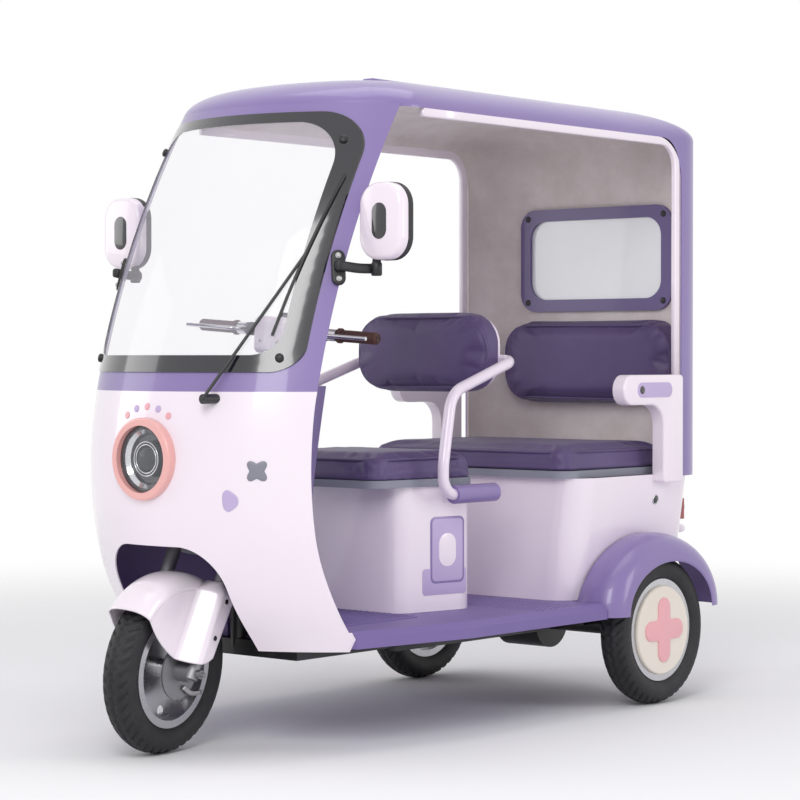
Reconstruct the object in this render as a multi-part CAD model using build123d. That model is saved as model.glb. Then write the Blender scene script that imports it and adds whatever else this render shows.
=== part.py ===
from build123d import *
import os
from math import cos, pi, radians, sin, sqrt

# Covered electric tricycle. Millimetres and degrees, +Z up, the vehicle faces -Y and its left
# side is +X. The origin is on the ground under the middle of the vehicle. Lengthwise places are
# stations, measured rearward from the front axle; at() turns a station into Y.

# Layout
FRONT_AXLE_Y = -880
WHEELBASE = 1495
REAR_TRACK = 850
PANEL = 4
SEAT_GAP = 0.3
RUN_GAP = 5

# Wheels, 3.00-10 tyres
TYRE_RADIUS = 208.5
TYRE_WIDTH = 86
TREAD_SHARE = 0.72
TREAD_DROP = 9
BEAD_RADIUS = 127
FLANGE_RADIUS = 143
FLANGE_HALF = 31
RIM_SHEET = 3
RIM_DISC_SETBACK = 6
RIM_HOLES = 8
RIM_HOLE_RADIUS = 104
RIM_HOLE_DIAMETER = 24
AXLE_RADIUS = 6
HUB_RADIUS = 24
FRONT_HUB_HALF = 40
REAR_HUB_HALF = 30
DRUM_RADIUS = 70
DRUM_DEPTH = 26
BRAKE_PLATE = 5
COVER_RADIUS = 125
COVER_DEPTH = 9
COVER_EDGE = 6
CROSS_SPAN = 78
CROSS_ARM = 34
CROSS_HEIGHT = 4

# Steering: raked column, telescopic fork, handlebar
RAKE = 25
TRAIL_OFFSET = 45
STEER_REST = 10
COLUMN_RADIUS = 14
COLUMN_TOP = 926
HEAD_LOW = 372
HEAD_HIGH = 600
HEAD_RADIUS = 21
CROWN_AT = 318
CROWN_THICK = 22
LEG_X = 84
LEG_RADIUS = 17
LEG_TOP = 336
LEG_BOTTOM = -16
AXLE_HALF = 122
NUT_RADIUS = 11
NUT_THICK = 10
BAR_RADIUS = 11
BAR_HALF = 276
BAR_RISE = 10
BAR_BACK = 26
BAR_KNEE = 110
BAR_BEND = 25
STEM_HALF = 22
PERCH = 30
HEADSET_HALF = 52
HEADSET_DEPTH = 60
HEADSET_TALL = 96
HEADSET_ROUND = 16
GRIP_RADIUS = 16
GRIP_LENGTH = 118
LEVER_REACH = 62
LEVER_LENGTH = 150
LEVER_RADIUS = 5

# Front fender
FENDER_CLEAR = 26
FENDER_HALF = 60
FENDER_START = -40
FENDER_ARC = 90
FENDER_SKIRT = 36
LEG_COVER_WIDTH = 50
LEG_COVER_LOW = 26
LEG_COVER_HIGH = 250
LEG_COVER_OUT = 24

# Bowed front body: one plan arc carried along a nose curve
FRONT_RADIUS = 485
CHIN_RADIUS_GAIN = 25
NOSE_STATION = -62
NOSE_HEIGHT = 700
COWL_BOW = 812
SCREEN_BOW = 1800
CHIN_HEIGHT = 520
CHIN_BOW = 400
COWL_BOTTOM = 252
COWL_TOP = 889
COWL_REAR = 272
PILLAR_SWEEP = 187
FRONT_HALF = 395
ARCH_TOP = 512
ARCH_HALF = 190
ARCH_CORNER = 105
SCREEN_TOP = 1582
SCREEN_BOTTOM = 936
SCREEN_HALF = 355
SCREEN_TOP_CORNER = 110
SCREEN_BOTTOM_CORNER = 60
CLEAR_HALF = 311
CLEAR_TOP = 1555
CLEAR_BOTTOM = 977
SCREEN_THICK = 4
FRAME_LAP = 26
LAMP_RADIUS = 101
LAMP_LENS_RADIUS = 82
LAMP_HEIGHT = 724
LAMP_PROUD = 12
LAMP_DEPTH = 34
LAMP_SINK = 5
LAMP_ROUND = 6

# Inner leg shield and dash
KNEE_HALF = 352
KNEE_FOOT = 300
KNEE_HEAD = 425
KNEE_INSET = 12
KNEE_STEPS = 5
DASH_HEIGHT = 896
COLUMN_HOLE = 24

# Canopy
BODY_HALF = 398
CANOPY_STEPS = 7
EAVE_HEIGHT = 1597
ROOF_SEAM = 1605
ROOF_TOP = 1682
ROOF_SIDE_INSET = 200
ROOF_END_INSET = 260
ROOF_FRONT_CORNER = 150
REAR_STATION = 1832
REAR_CORNER = 130
REAR_SKIRT = 632
RIB_HEIGHT = 8
RIB_WIDTH = 34
RIB_PITCH = 120
RIB_COUNT = 4
LINER = 8
OPENING_REAR = 1640
TRIM_DEPTH = 42
TRIM_EAVE = 17
TRIM_THICK = 16
TRIM_CORNER = 76
TRIM_FRONT = 505
ARMREST_TOP = 923
ARMREST_BOTTOM = 838
ARMREST_FRONT = 1356
ARMREST_REAR = 1672
ARMREST_WIDTH = 38
ARMREST_ROUND = 20
POST_FRONT = 1552
POST_LOW = 616
POST_THICK = 24

# Rear window
WINDOW_LOW = 1112
WINDOW_HIGH = 1424
WINDOW_HALF = 278
WINDOW_CORNER = 55
WINDOW_BAND = 36
WINDOW_PROUD = 14
GLASS_THICK = 4

# Floor and tubs
FLOOR_TOP = 302
FLOOR_THICK = 42
FLOOR_REAR = 1290
FLOOR_HALF_FRONT = 398
FLOOR_HALF_REAR = 462
FLOOR_WIDE = 640
FLOOR_EDGE = 16
MAT_HALF = 290
MAT_FRONT = 325
MAT_THICK = 2
MAT_CORNER = 24
TUB_TOP = 640
TUB_FRONT = 1196
TUB_REAR = 1768
TUB_HALF_LOW = 346
TUB_CORNER = 80
BOX_TOP = 632
BOX_FRONT = 652
BOX_REAR = 930
BOX_HALF_FRONT = 205
BOX_HALF_REAR = 258
BOX_CORNER = 60
RIM_BAND = 20
CUSHION_HEIGHT = 62
DRIVER_SEAT_FRONT = 560
REAR_SEAT_FRONT = 1172
REAR_SEAT_REAR = 1690
REAR_SEAT_HALF = 366
CUSHION_CORNER = 55
CUSHION_ROUND = 18

# Backrests and hoop
REST_LOW = 832
REST_HIGH = 1085
REST_HALF = 318
REST_THICK = 70
DRIVER_REST_LOW = 878
DRIVER_REST_HIGH = 1094
DRIVER_REST_HALF = 236
DRIVER_REST_FRONT = 980
DRIVER_REST_THICK = 66
REST_CORNER = 88
HOOP_RADIUS = 15
HOOP_HALF = 288
HOOP_ARM_HALF = 280
HOOP_ELBOW_HALF = 270
HOOP_FOOT = 738
HOOP_WAIST_HEIGHT = 690
HOOP_ARM_FRONT = 782
HOOP_ARM_HEIGHT = 878
HOOP_ELBOW = 1062
HOOP_ELBOW_HEIGHT = 964
HOOP_BACK_HALF = 180
HOOP_BENDS = [50, 140, 80, 38, 45]
BARREL_RADIUS = 24
BARREL_LENGTH = 172
BARREL_FRONT = 780
BARREL_HEIGHT = 612
BACK_PLATE = 8
HOOP_SOCKET = 40
REST_ROUND = 24

# Rear fenders
FENDER_OUT = 490
FENDER_IN = 350
FENDER_SHOULDER = 420
FENDER_LEAN = 50
ARCH_ROUND = 100
REAR_FENDER_TOP = 479
REAR_FENDER_LIP = 404
REAR_FENDER_LOW = 262
REAR_FENDER_FRONT = 1234
REAR_FENDER_BACK = 1832
REAR_LIP_FRONT = 1298
REAR_LIP_BACK = 1700

# Frame, axle and battery
RAIL = 40
RAIL_X = 200
FRAME_FRONT = 250
FRAME_REAR = 1766
HITCH_SPACING = 140
HITCH_HOLE_RADIUS = 5.5
BEAM_RADIUS = 26
MOTOR_RADIUS = 78
MOTOR_LENGTH = 150
SPRING_WIDTH = 50
GUARD_RADIUS = 11
GUARD_LOW = 460
GUARD_HIGH = 524
GUARD_BACK = 1962
GUARD_HALF = 240
GUARD_BEND = 60

# Mirrors, wiper and lamps
MIRROR_HEIGHT = 1302
MIRROR_WIDTH = 136
MIRROR_TALL = 188
MIRROR_DEPTH = 52
MIRROR_X = 455
MIRROR_STATION = 315
MIRROR_ARM_HEIGHT = 1188
MIRROR_ARM_RADIUS = 8
MIRROR_ROUND = 40
MIRROR_PLATE = 20
MIRROR_PLATE_TALL = 64
MIRROR_PLATE_TURN = 35
WIPER_X = 190
WIPER_HEIGHT = 872
WIPER_RADIUS = 4
WIPER_BEND = 900
BLADE_LOW_X = 296
BLADE_LOW_HEIGHT = 1024
BLADE_STEPS = 4
WIPER_LIFT = 40
BLADE_HIGH_X = 346
BLADE_HIGH_HEIGHT = 1420
LAMP_X = 298
TAIL_WIDTH = 74
TAIL_DEPTH = 24
TAIL_LOW = 500
TAIL_TALL = 60
BATTERY_LENGTH = 180
BATTERY_TALL = 180

AXLE_HEIGHT = TYRE_RADIUS
WHEEL_X = REAR_TRACK / 2
TUB_HALF_HIGH = BODY_HALF - PANEL - SEAT_GAP


def at(station):
    """Y of a station."""
    return station + FRONT_AXLE_Y


REAR_AXLE_Y = at(WHEELBASE)


def block(x_range, station_range, z_range):
    """Box between two X values, two stations and two heights."""
    size = [high - low for low, high in (x_range, station_range, z_range)]
    middle = [(low + high) / 2 for low, high in (x_range, station_range, z_range)]
    return Pos(middle[0], at(middle[1]), middle[2]) * Box(*size)


def side_outline(points, radius):
    """Closed face in the YZ plane through (station, z) points with rounded corners."""
    corners = [(0, at(station), z) for station, z in points]
    return make_face(FilletPolyline(*corners, radius=radius, close=True))


def side_slab(points, x_range, radius):
    """Side outline carried across from one X to another."""
    low, high = x_range
    return Pos(low, 0, 0) * extrude(side_outline(points, radius), amount=high - low, dir=(1, 0, 0))


def front_slab(half, z_range, radius, station_range):
    """Rounded rectangle seen from the front, carried from one station to another."""
    low, high = z_range
    near, far = station_range
    face = RectangleRounded(2 * half, high - low, radius)
    plane = Plane(origin=(0, at(near), (low + high) / 2), x_dir=(1, 0, 0), z_dir=(0, 1, 0))
    return extrude(plane * face, amount=far - near)


def tube(points, bends, radius):
    """Round bar along straight runs joined by tangent bends."""
    path = FilletPolyline(*points, radius=bends) if len(points) > 2 else Line(*points)
    section = Plane(origin=path @ 0, z_dir=path % 0) * Circle(radius)
    return sweep(section, path=path)


def rod(start, end, radius):
    """Straight round bar between two points."""
    return tube([start, end], None, radius)


def disc(radius, x_low, x_high, centre_y, centre_z):
    """Round plate with its axis along X."""
    plane = Plane(origin=(x_low, centre_y, centre_z), z_dir=(1, 0, 0))
    return extrude(plane * Circle(radius), amount=x_high - x_low)


def both_sides(shape):
    """The shape and its mirror image across the middle of the vehicle."""
    return shape + mirror(shape, about=Plane.YZ)


# Front body surface

def nose_station(z):
    """Station of the bowed front on the middle line at height z."""
    if z > COWL_TOP:
        rise = z - COWL_TOP
        slope = (COWL_TOP - NOSE_HEIGHT) / COWL_BOW
        return nose_station(COWL_TOP) + slope * rise + rise**2 / (2 * SCREEN_BOW)
    if z < CHIN_HEIGHT:
        drop = CHIN_HEIGHT - z
        slope = (NOSE_HEIGHT - CHIN_HEIGHT) / COWL_BOW
        return nose_station(CHIN_HEIGHT) + slope * drop + drop**2 / (2 * CHIN_BOW)
    return NOSE_STATION + (z - NOSE_HEIGHT) ** 2 / (2 * COWL_BOW)


def plan_radius(z):
    """Plan radius of the bowed front, flatter under the chin."""
    chin = max(0, (CHIN_HEIGHT - z) / (CHIN_HEIGHT - COWL_BOTTOM))
    return FRONT_RADIUS + CHIN_RADIUS_GAIN * chin


def bowed_section(z, offset):
    """Plan section of the bowed front at height z, moved outward by offset."""
    centre = nose_station(z) + plan_radius(z)
    radius = plan_radius(z) + offset
    chord = centre - sqrt(radius**2 - FRONT_HALF**2)
    arc = ThreePointArc(
        (-FRONT_HALF, at(chord), z), (0, at(centre - radius), z), (FRONT_HALF, at(chord), z)
    )
    return make_face(arc + Line(arc @ 1, arc @ 0))


def bowed_solid(z_low, z_high, offset, steps):
    """Solid behind the bowed front between two heights."""
    levels = [z_low + (z_high - z_low) * step / steps for step in range(steps + 1)]
    return loft([bowed_section(z, offset) for z in levels])


def bowed_shell(z_low, z_high, outer, inner, steps):
    """Sheet that follows the bowed front between two offsets from it, open at the back."""
    behind = 2 * FRONT_HALF
    hollow = bowed_solid(z_low, z_high, inner, steps)
    shifted = hollow + Pos(0, PANEL, 0) * hollow
    return bowed_solid(z_low, z_high, outer, steps) - shifted


def trailing_edge(z_levels):
    """Rear edge of the pillars seen from the side."""
    return [(nose_station(z) + PILLAR_SWEEP, z) for z in z_levels]


def behind_trailing_edge(z_low, z_high, steps):
    """Everything behind the rear edge of the front body."""
    levels = [z_low + (z_high - z_low) * step / steps for step in range(steps + 1)]
    edge = Spline(*[(0, at(station), z) for station, z in trailing_edge(levels)])
    far = at(WHEELBASE)
    back = Polyline(edge @ 1, (0, far, z_high), (0, far, z_low), edge @ 0)
    face = make_face(edge + back)
    return extrude(face, amount=2 * BODY_HALF, dir=(1, 0, 0), both=True)


def front_disc(radius, height, near, far):
    """Round plate facing forward between two stations."""
    plane = Plane(origin=(0, at(near), height), x_dir=(1, 0, 0), z_dir=(0, 1, 0))
    return extrude(plane * Circle(radius), amount=far - near)


def screen_slab(half, low, high, top_corner, bottom_corner):
    """Screen outline seen from the front, carried through the whole front body."""
    face = Rectangle(2 * half, high - low)
    face = fillet(face.vertices().group_by(Axis.Y)[-1], top_corner)
    face = fillet(face.vertices().group_by(Axis.Y)[0], bottom_corner)
    plane = Plane(origin=(0, at(-BODY_HALF), (low + high) / 2), x_dir=(-1, 0, 0), z_dir=(0, 1, 0))
    return extrude(plane * face, amount=3 * BODY_HALF)


def make_front_cowl():
    """White nose panel with the wheel arch and the lamp opening."""
    shell = bowed_shell(COWL_BOTTOM, COWL_TOP, 0, -PANEL, 6)
    shell -= behind_trailing_edge(FLOOR_TOP, COWL_TOP, 6)
    far = (COWL_REAR, COWL_REAR + FRONT_RADIUS)
    shell -= block((-FRONT_RADIUS, FRONT_RADIUS), far, (0, FLOOR_TOP + PANEL))
    shell -= front_slab(ARCH_HALF, (COWL_BOTTOM - ARCH_TOP, ARCH_TOP), ARCH_CORNER, (-200, 400))
    shell -= front_disc(LAMP_RADIUS + SEAT_GAP, LAMP_HEIGHT, -200, 200)
    return shell


def make_headlamp():
    """Salmon ring seated in the cowl and the lamp glass inside it."""
    near = NOSE_STATION - LAMP_PROUD
    far = NOSE_STATION + LAMP_DEPTH
    ring = front_disc(LAMP_RADIUS, LAMP_HEIGHT, near, far)
    ring = fillet(ring.edges().group_by(Axis.Y)[0], LAMP_ROUND)
    ring -= front_disc(LAMP_LENS_RADIUS, LAMP_HEIGHT, near, far)
    lens = front_disc(LAMP_LENS_RADIUS, LAMP_HEIGHT, near + LAMP_SINK, far)
    lens = fillet(lens.edges().group_by(Axis.Y)[0], LAMP_ROUND)
    return {"headlamp_ring": ring, "headlamp_lens": lens}


def make_screen():
    """Purple screen frame, the black border of the screen and its clear pane."""
    frame = bowed_shell(COWL_TOP, ROOF_SEAM, 0, -PANEL, 6)
    frame -= behind_trailing_edge(COWL_TOP, ROOF_SEAM, 6)
    lap = FRAME_LAP
    frame -= screen_slab(
        SCREEN_HALF - lap, SCREEN_BOTTOM + lap, SCREEN_TOP - lap, SCREEN_TOP_CORNER, SCREEN_BOTTOM_CORNER
    )
    low = SCREEN_BOTTOM - PANEL
    high = SCREEN_TOP + PANEL
    sheet = bowed_shell(low, high, SEAT_GAP + SCREEN_THICK, SEAT_GAP, 6)
    outline = screen_slab(SCREEN_HALF, SCREEN_BOTTOM, SCREEN_TOP, SCREEN_TOP_CORNER, SCREEN_BOTTOM_CORNER)
    clear = screen_slab(CLEAR_HALF, CLEAR_BOTTOM, CLEAR_TOP, SCREEN_TOP_CORNER, SCREEN_BOTTOM_CORNER)
    return {
        "windshield_frame": frame,
        "windshield_border": (sheet & outline) - clear,
        "windshield_pane": sheet & clear,
    }


# Canopy

def canopy_plan(z, front, rear, half):
    """Plan outline with a bowed front, straight sides and rounded corners."""
    bow = FRONT_RADIUS - sqrt(FRONT_RADIUS**2 - half**2)
    left = (half, at(front + bow), z)
    right = (-half, at(front + bow), z)
    arc = ThreePointArc(right, (0, at(front), z), left)
    rest = Polyline(left, (half, at(rear), z), (-half, at(rear), z), right)
    face = make_face(arc + rest)
    face = fillet(face.vertices().group_by(Axis.Y)[0], ROOF_FRONT_CORNER)
    return fillet(face.vertices().group_by(Axis.Y)[-1], REAR_CORNER)


def canopy_solid(inset):
    """Whole canopy as a closed form, moved inward by inset."""
    rise = ROOF_TOP - EAVE_HEIGHT - inset
    half = BODY_HALF - inset
    front = nose_station(ROOF_SEAM) + inset
    rear = REAR_STATION - inset
    sections = []
    for step in range(CANOPY_STEPS + 1):
        angle = radians(90 * step / CANOPY_STEPS)
        shrink = 1 - cos(angle)
        section = canopy_plan(
            EAVE_HEIGHT + rise * sin(angle),
            front + ROOF_END_INSET * shrink,
            rear - ROOF_END_INSET * shrink,
            half - ROOF_SIDE_INSET * shrink,
        )
        sections.append(section)
    crown = loft(sections)
    walls = extrude(sections[0], amount=-(EAVE_HEIGHT - REAR_SKIRT))
    return crown + walls


def opening_slab(margin, x_range):
    """Side opening seen from the side, grown by margin."""
    far = OPENING_REAR + margin
    top = EAVE_HEIGHT - TRIM_EAVE + margin * TRIM_EAVE / TRIM_DEPTH
    solid = block(x_range, (-WHEELBASE, far), (-WHEELBASE, top))
    corner = solid.edges().filter_by(Axis.X).group_by(Axis.Y)[-1].sort_by(Axis.Z)[-1]
    return fillet(corner, TRIM_CORNER + margin)


def make_canopy():
    """Roof, rear shell, fabric liner and the white trim round the side openings."""
    outer = canopy_solid(0)
    middle = canopy_solid(PANEL)
    inner = canopy_solid(PANEL + LINER)
    opening = opening_slab(TRIM_DEPTH, (-2 * BODY_HALF, 2 * BODY_HALF))
    window = front_slab(
        WINDOW_HALF - WINDOW_BAND, (WINDOW_LOW + WINDOW_BAND, WINDOW_HIGH - WINDOW_BAND),
        WINDOW_CORNER, (OPENING_REAR + TRIM_DEPTH, REAR_STATION + WINDOW_BAND)
    )
    below = block((-2 * BODY_HALF, 2 * BODY_HALF), (-WHEELBASE, 2 * WHEELBASE), (-WHEELBASE, EAVE_HEIGHT))
    seam = nose_station(ROOF_SEAM) + PILLAR_SWEEP
    frame_space = block((-2 * BODY_HALF, 2 * BODY_HALF), (-WHEELBASE, seam), (EAVE_HEIGHT, ROOF_SEAM))
    skin = outer - middle
    roof = skin - below - frame_space
    for index in range(RIB_COUNT):
        x = (index - (RIB_COUNT - 1) / 2) * RIB_PITCH
        rib = block(
            (x - RIB_WIDTH / 2, x + RIB_WIDTH / 2),
            (nose_station(ROOF_SEAM) + ROOF_END_INSET + RIB_WIDTH, REAR_STATION - ROOF_END_INSET - RIB_WIDTH),
            (ROOF_TOP - PANEL / 2, ROOF_TOP + RIB_HEIGHT)
        )
        roof += fillet(rib.edges().group_by(Axis.Z)[-1], RIB_HEIGHT / 2)
    shell = (skin & below) - opening - window
    skirt = block((-BODY_HALF, BODY_HALF), (0, 2 * REAR_STATION), (0, TUB_TOP + SEAT_GAP))
    liner = middle - inner - opening - window - frame_space - skirt
    wide = opening_slab(TRIM_DEPTH, (BODY_HALF - TRIM_THICK, BODY_HALF))
    narrow = opening_slab(0, (BODY_HALF - 2 * TRIM_THICK, BODY_HALF + TRIM_THICK))
    keep = block(
        (0, BODY_HALF), (TRIM_FRONT, OPENING_REAR + TRIM_DEPTH), (ARMREST_TOP + SEAT_GAP, EAVE_HEIGHT)
    )
    trim = (wide - narrow) & keep
    return {
        "roof_shell": roof,
        "rear_shell": shell,
        "cabin_liner": liner - both_sides(trim),
        "side_trims": both_sides(trim + make_armrest()),
    }


def make_rear_window():
    """Inner frame and glass of the rear window."""
    wall = REAR_STATION - PANEL - LINER
    band = front_slab(WINDOW_HALF, (WINDOW_LOW, WINDOW_HIGH), WINDOW_CORNER, (wall - WINDOW_PROUD, wall))
    hole = front_slab(
        WINDOW_HALF - WINDOW_BAND, (WINDOW_LOW + WINDOW_BAND, WINDOW_HIGH - WINDOW_BAND),
        WINDOW_CORNER, (wall - 2 * WINDOW_PROUD, REAR_STATION)
    )
    glass = front_slab(
        WINDOW_HALF - WINDOW_BAND - SEAT_GAP,
        (WINDOW_LOW + WINDOW_BAND + SEAT_GAP, WINDOW_HIGH - WINDOW_BAND - SEAT_GAP),
        WINDOW_CORNER - SEAT_GAP, (wall - GLASS_THICK, wall)
    )
    room = canopy_solid(PANEL + LINER + SEAT_GAP)
    return {"rear_window_frame": (band - hole) & room, "rear_window_glass": glass}


def make_armrest():
    """Left armrest and its post, behind the door opening."""
    low_x = BODY_HALF - TRIM_THICK / 2
    top = side_slab(
        [(ARMREST_FRONT, ARMREST_BOTTOM), (ARMREST_FRONT, ARMREST_TOP),
         (ARMREST_REAR, ARMREST_TOP), (ARMREST_REAR, ARMREST_BOTTOM)],
        (low_x, low_x + ARMREST_WIDTH), ARMREST_ROUND
    )
    post_x = TUB_HALF_HIGH + SEAT_GAP
    post = side_slab(
        [(POST_FRONT, POST_LOW), (POST_FRONT, ARMREST_TOP - ARMREST_ROUND),
         (ARMREST_REAR, ARMREST_TOP - ARMREST_ROUND), (ARMREST_REAR, POST_LOW)],
        (post_x, post_x + POST_THICK), ARMREST_ROUND / 2
    )
    return top + post


# Floor, tubs and seats

def make_floor():
    """Ribbed floor board, wider towards the rear, with a chamfered outer edge."""
    neck = at(COWL_REAR + SEAT_GAP)
    plan = Polyline(
        (-FLOOR_HALF_FRONT, neck), (FLOOR_HALF_FRONT, neck),
        (FLOOR_HALF_REAR, at(FLOOR_WIDE)), (FLOOR_HALF_REAR, at(REAR_FENDER_FRONT - RUN_GAP)),
        (TUB_HALF_LOW, at(REAR_FENDER_FRONT - RUN_GAP)), (TUB_HALF_LOW, at(FLOOR_REAR)),
        (-TUB_HALF_LOW, at(FLOOR_REAR)), (-TUB_HALF_LOW, at(REAR_FENDER_FRONT - RUN_GAP)),
        (-FLOOR_HALF_REAR, at(REAR_FENDER_FRONT - RUN_GAP)), (-FLOOR_HALF_REAR, at(FLOOR_WIDE)),
        close=True
    )
    board = Pos(0, 0, FLOOR_TOP - FLOOR_THICK) * extrude(make_face(plan), amount=FLOOR_THICK)
    strut = FRAME_FRONT + RAIL / 2 + HEAD_RADIUS + RUN_GAP
    board -= block((-2 * HEAD_RADIUS, 2 * HEAD_RADIUS), (0, strut), (0, 2 * FLOOR_TOP))
    sides = board.edges().filter_by(is_outer_floor_edge)
    mat = tapered_plan(MAT_FRONT, BOX_FRONT - RUN_GAP, MAT_HALF, MAT_HALF, MAT_CORNER)
    return chamfer(sides, FLOOR_EDGE) + lift(mat, FLOOR_TOP, FLOOR_TOP + MAT_THICK)


def is_outer_floor_edge(edge):
    """True for the top edges along the open sides of the floor board."""
    middle = edge @ 0.5
    on_top = abs(middle.Z - FLOOR_TOP) < SEAT_GAP
    return on_top and abs(middle.X) > FLOOR_HALF_FRONT and edge.length > BOX_HALF_REAR


def tapered_plan(front, rear, half_front, half_rear, corner):
    """Plan face that widens rearward, with rounded corners."""
    return make_face(FilletPolyline(
        (-half_front, at(front)), (half_front, at(front)), (half_rear, at(rear)), (-half_rear, at(rear)),
        radius=corner, close=True
    ))


def lift(face, z_low, z_high):
    """Plan face extruded between two heights."""
    return Pos(0, 0, z_low) * extrude(face, amount=z_high - z_low)


def tub_form(inset):
    """Outer form of the rear tub, moved inward by inset and open above its top."""
    faces = []
    for z, half in ((FLOOR_TOP + SEAT_GAP + inset, TUB_HALF_LOW), (TUB_TOP + inset, TUB_HALF_HIGH)):
        plan = tapered_plan(
            TUB_FRONT + inset, TUB_REAR - inset, half - inset, half - inset, TUB_CORNER - inset
        )
        faces.append(Pos(0, 0, z) * plan)
    return loft(faces)


def make_rear_tub():
    """Open-topped moulded tub under the rear seat, narrower at the floor to clear the tyres."""
    return tub_form(0) - tub_form(PANEL)


def make_seat_box():
    """Open-topped box under the driver's seat."""
    base = FLOOR_TOP + SEAT_GAP
    outer = tapered_plan(BOX_FRONT, BOX_REAR, BOX_HALF_FRONT, BOX_HALF_REAR, BOX_CORNER)
    inner = tapered_plan(
        BOX_FRONT + PANEL, BOX_REAR - PANEL, BOX_HALF_FRONT - PANEL, BOX_HALF_REAR - PANEL, BOX_CORNER - PANEL
    )
    return lift(outer, base, BOX_TOP) - lift(inner, base + PANEL, BOX_TOP + PANEL)


def make_seats():
    """Grey rim and cushion of each lifting seat."""
    pieces = {}
    driver = (DRIVER_SEAT_FRONT, BOX_REAR + RUN_GAP, BOX_HALF_FRONT, BOX_HALF_REAR, BOX_TOP)
    rear = (REAR_SEAT_FRONT, REAR_SEAT_REAR, REAR_SEAT_HALF, REAR_SEAT_HALF, TUB_TOP)
    for name, (front, back, half_front, half_rear, top) in (("driver", driver), ("rear", rear)):
        plan = tapered_plan(front, back, half_front, half_rear, CUSHION_CORNER)
        base = top + SEAT_GAP
        pieces[name + "_seat_rim"] = lift(plan, base, base + RIM_BAND)
        cushion = lift(plan, base + RIM_BAND, base + RIM_BAND + CUSHION_HEIGHT)
        pieces[name + "_seat_cushion"] = fillet(cushion.edges().group_by(Axis.Z)[-1], CUSHION_ROUND)
    return pieces


def make_backrests():
    """Rear backrest on the back wall and the driver's backrest on its hoop."""
    wall = REAR_STATION - PANEL - LINER
    rear = front_slab(REST_HALF, (REST_LOW, REST_HIGH), REST_CORNER, (wall - REST_THICK, wall))
    rear &= canopy_solid(PANEL + LINER + SEAT_GAP)
    back = DRIVER_REST_FRONT + DRIVER_REST_THICK
    driver = front_slab(
        DRIVER_REST_HALF, (DRIVER_REST_LOW, DRIVER_REST_HIGH), REST_CORNER, (DRIVER_REST_FRONT, back)
    )
    plate = front_slab(
        DRIVER_REST_HALF - BACK_PLATE, (DRIVER_REST_LOW + BACK_PLATE, DRIVER_REST_HIGH - BACK_PLATE),
        REST_CORNER - BACK_PLATE, (back, back + BACK_PLATE)
    )
    cross = back + BACK_PLATE + HOOP_RADIUS / 2
    half = [
        (HOOP_HALF, at(BARREL_FRONT + HOOP_SOCKET), BARREL_HEIGHT),
        (HOOP_HALF, at(HOOP_FOOT), BARREL_HEIGHT),
        (HOOP_HALF, at(HOOP_FOOT), HOOP_WAIST_HEIGHT),
        (HOOP_ARM_HALF, at(HOOP_ARM_FRONT), HOOP_ARM_HEIGHT),
        (HOOP_ELBOW_HALF, at(HOOP_ELBOW), HOOP_ELBOW_HEIGHT),
        (HOOP_BACK_HALF, at(cross), HOOP_ELBOW_HEIGHT),
    ]
    other = [(-x, y, z) for x, y, z in reversed(half)]
    hoop = tube(half + other, HOOP_BENDS + HOOP_BENDS[::-1], HOOP_RADIUS)
    barrel = rod(
        (HOOP_HALF, at(BARREL_FRONT), BARREL_HEIGHT),
        (HOOP_HALF, at(BARREL_FRONT + BARREL_LENGTH), BARREL_HEIGHT), BARREL_RADIUS
    )
    boss = block(
        (BOX_HALF_FRONT, HOOP_HALF), (BARREL_FRONT + BARREL_RADIUS, BARREL_FRONT + BARREL_LENGTH),
        (BARREL_HEIGHT - BARREL_RADIUS, BARREL_HEIGHT)
    )
    inside = lift(
        tapered_plan(
            BOX_FRONT - SEAT_GAP, BOX_REAR + SEAT_GAP, BOX_HALF_FRONT + SEAT_GAP, BOX_HALF_REAR + SEAT_GAP,
            BOX_CORNER
        ), FLOOR_TOP, BOX_TOP + RIM_BAND
    )
    barrels = both_sides(barrel + (boss - inside))
    return {
        "rear_backrest": fillet(rear.edges().group_by(Axis.Y)[0], REST_ROUND),
        "driver_backrest": fillet(driver.edges().group_by(Axis.Y)[0], REST_ROUND),
        "backrest_hoop": hoop + plate + barrels,
    }


def make_knee_panel():
    """Inner leg shield that bulges towards the rider, with the dash over the column."""
    def form(offset):
        faces = []
        for step in range(KNEE_STEPS + 1):
            z = FLOOR_TOP + SEAT_GAP + (DASH_HEIGHT - FLOOR_TOP) * step / KNEE_STEPS
            side = nose_station(z) + PILLAR_SWEEP - KNEE_INSET
            bulge = KNEE_FOOT + (KNEE_HEAD - KNEE_FOOT) * (step / KNEE_STEPS) + offset
            arc = ThreePointArc((-KNEE_HALF, at(side), z), (0, at(bulge), z), (KNEE_HALF, at(side), z))
            faces.append(make_face(arc + Line(arc @ 1, arc @ 0)))
        return loft(faces)
    outer = form(0)
    inner = form(-PANEL)
    wall = outer - inner - Pos(0, -PANEL, 0) * inner
    top = block((-KNEE_HALF, KNEE_HALF), (0, KNEE_HEAD), (DASH_HEIGHT, DASH_HEIGHT + PANEL))
    reach = -PANEL - SEAT_GAP
    roofed = bowed_solid(DASH_HEIGHT - PANEL, DASH_HEIGHT + 2 * PANEL, reach, 2)
    plan = extrude(outer.faces().sort_by(Axis.Z)[-1], amount=PANEL, dir=(0, 0, 1))
    dash = (top & roofed) + plan
    column = tube([fork_point(0, HEAD_LOW, 0), fork_point(0, COLUMN_TOP, 0)], None, COLUMN_HOLE)
    return wall + dash - column


# Steering and wheels, built straight ahead and then turned to the parked lock

def fork_point(x, along, ahead):
    """Point at x, a distance up the column line and a distance ahead of it."""
    rake = radians(RAKE)
    station = TRAIL_OFFSET * cos(rake) + along * sin(rake) - ahead * cos(rake)
    height = AXLE_HEIGHT - TRAIL_OFFSET * sin(rake) + along * cos(rake) + ahead * sin(rake)
    return (x, at(station), height)


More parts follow.
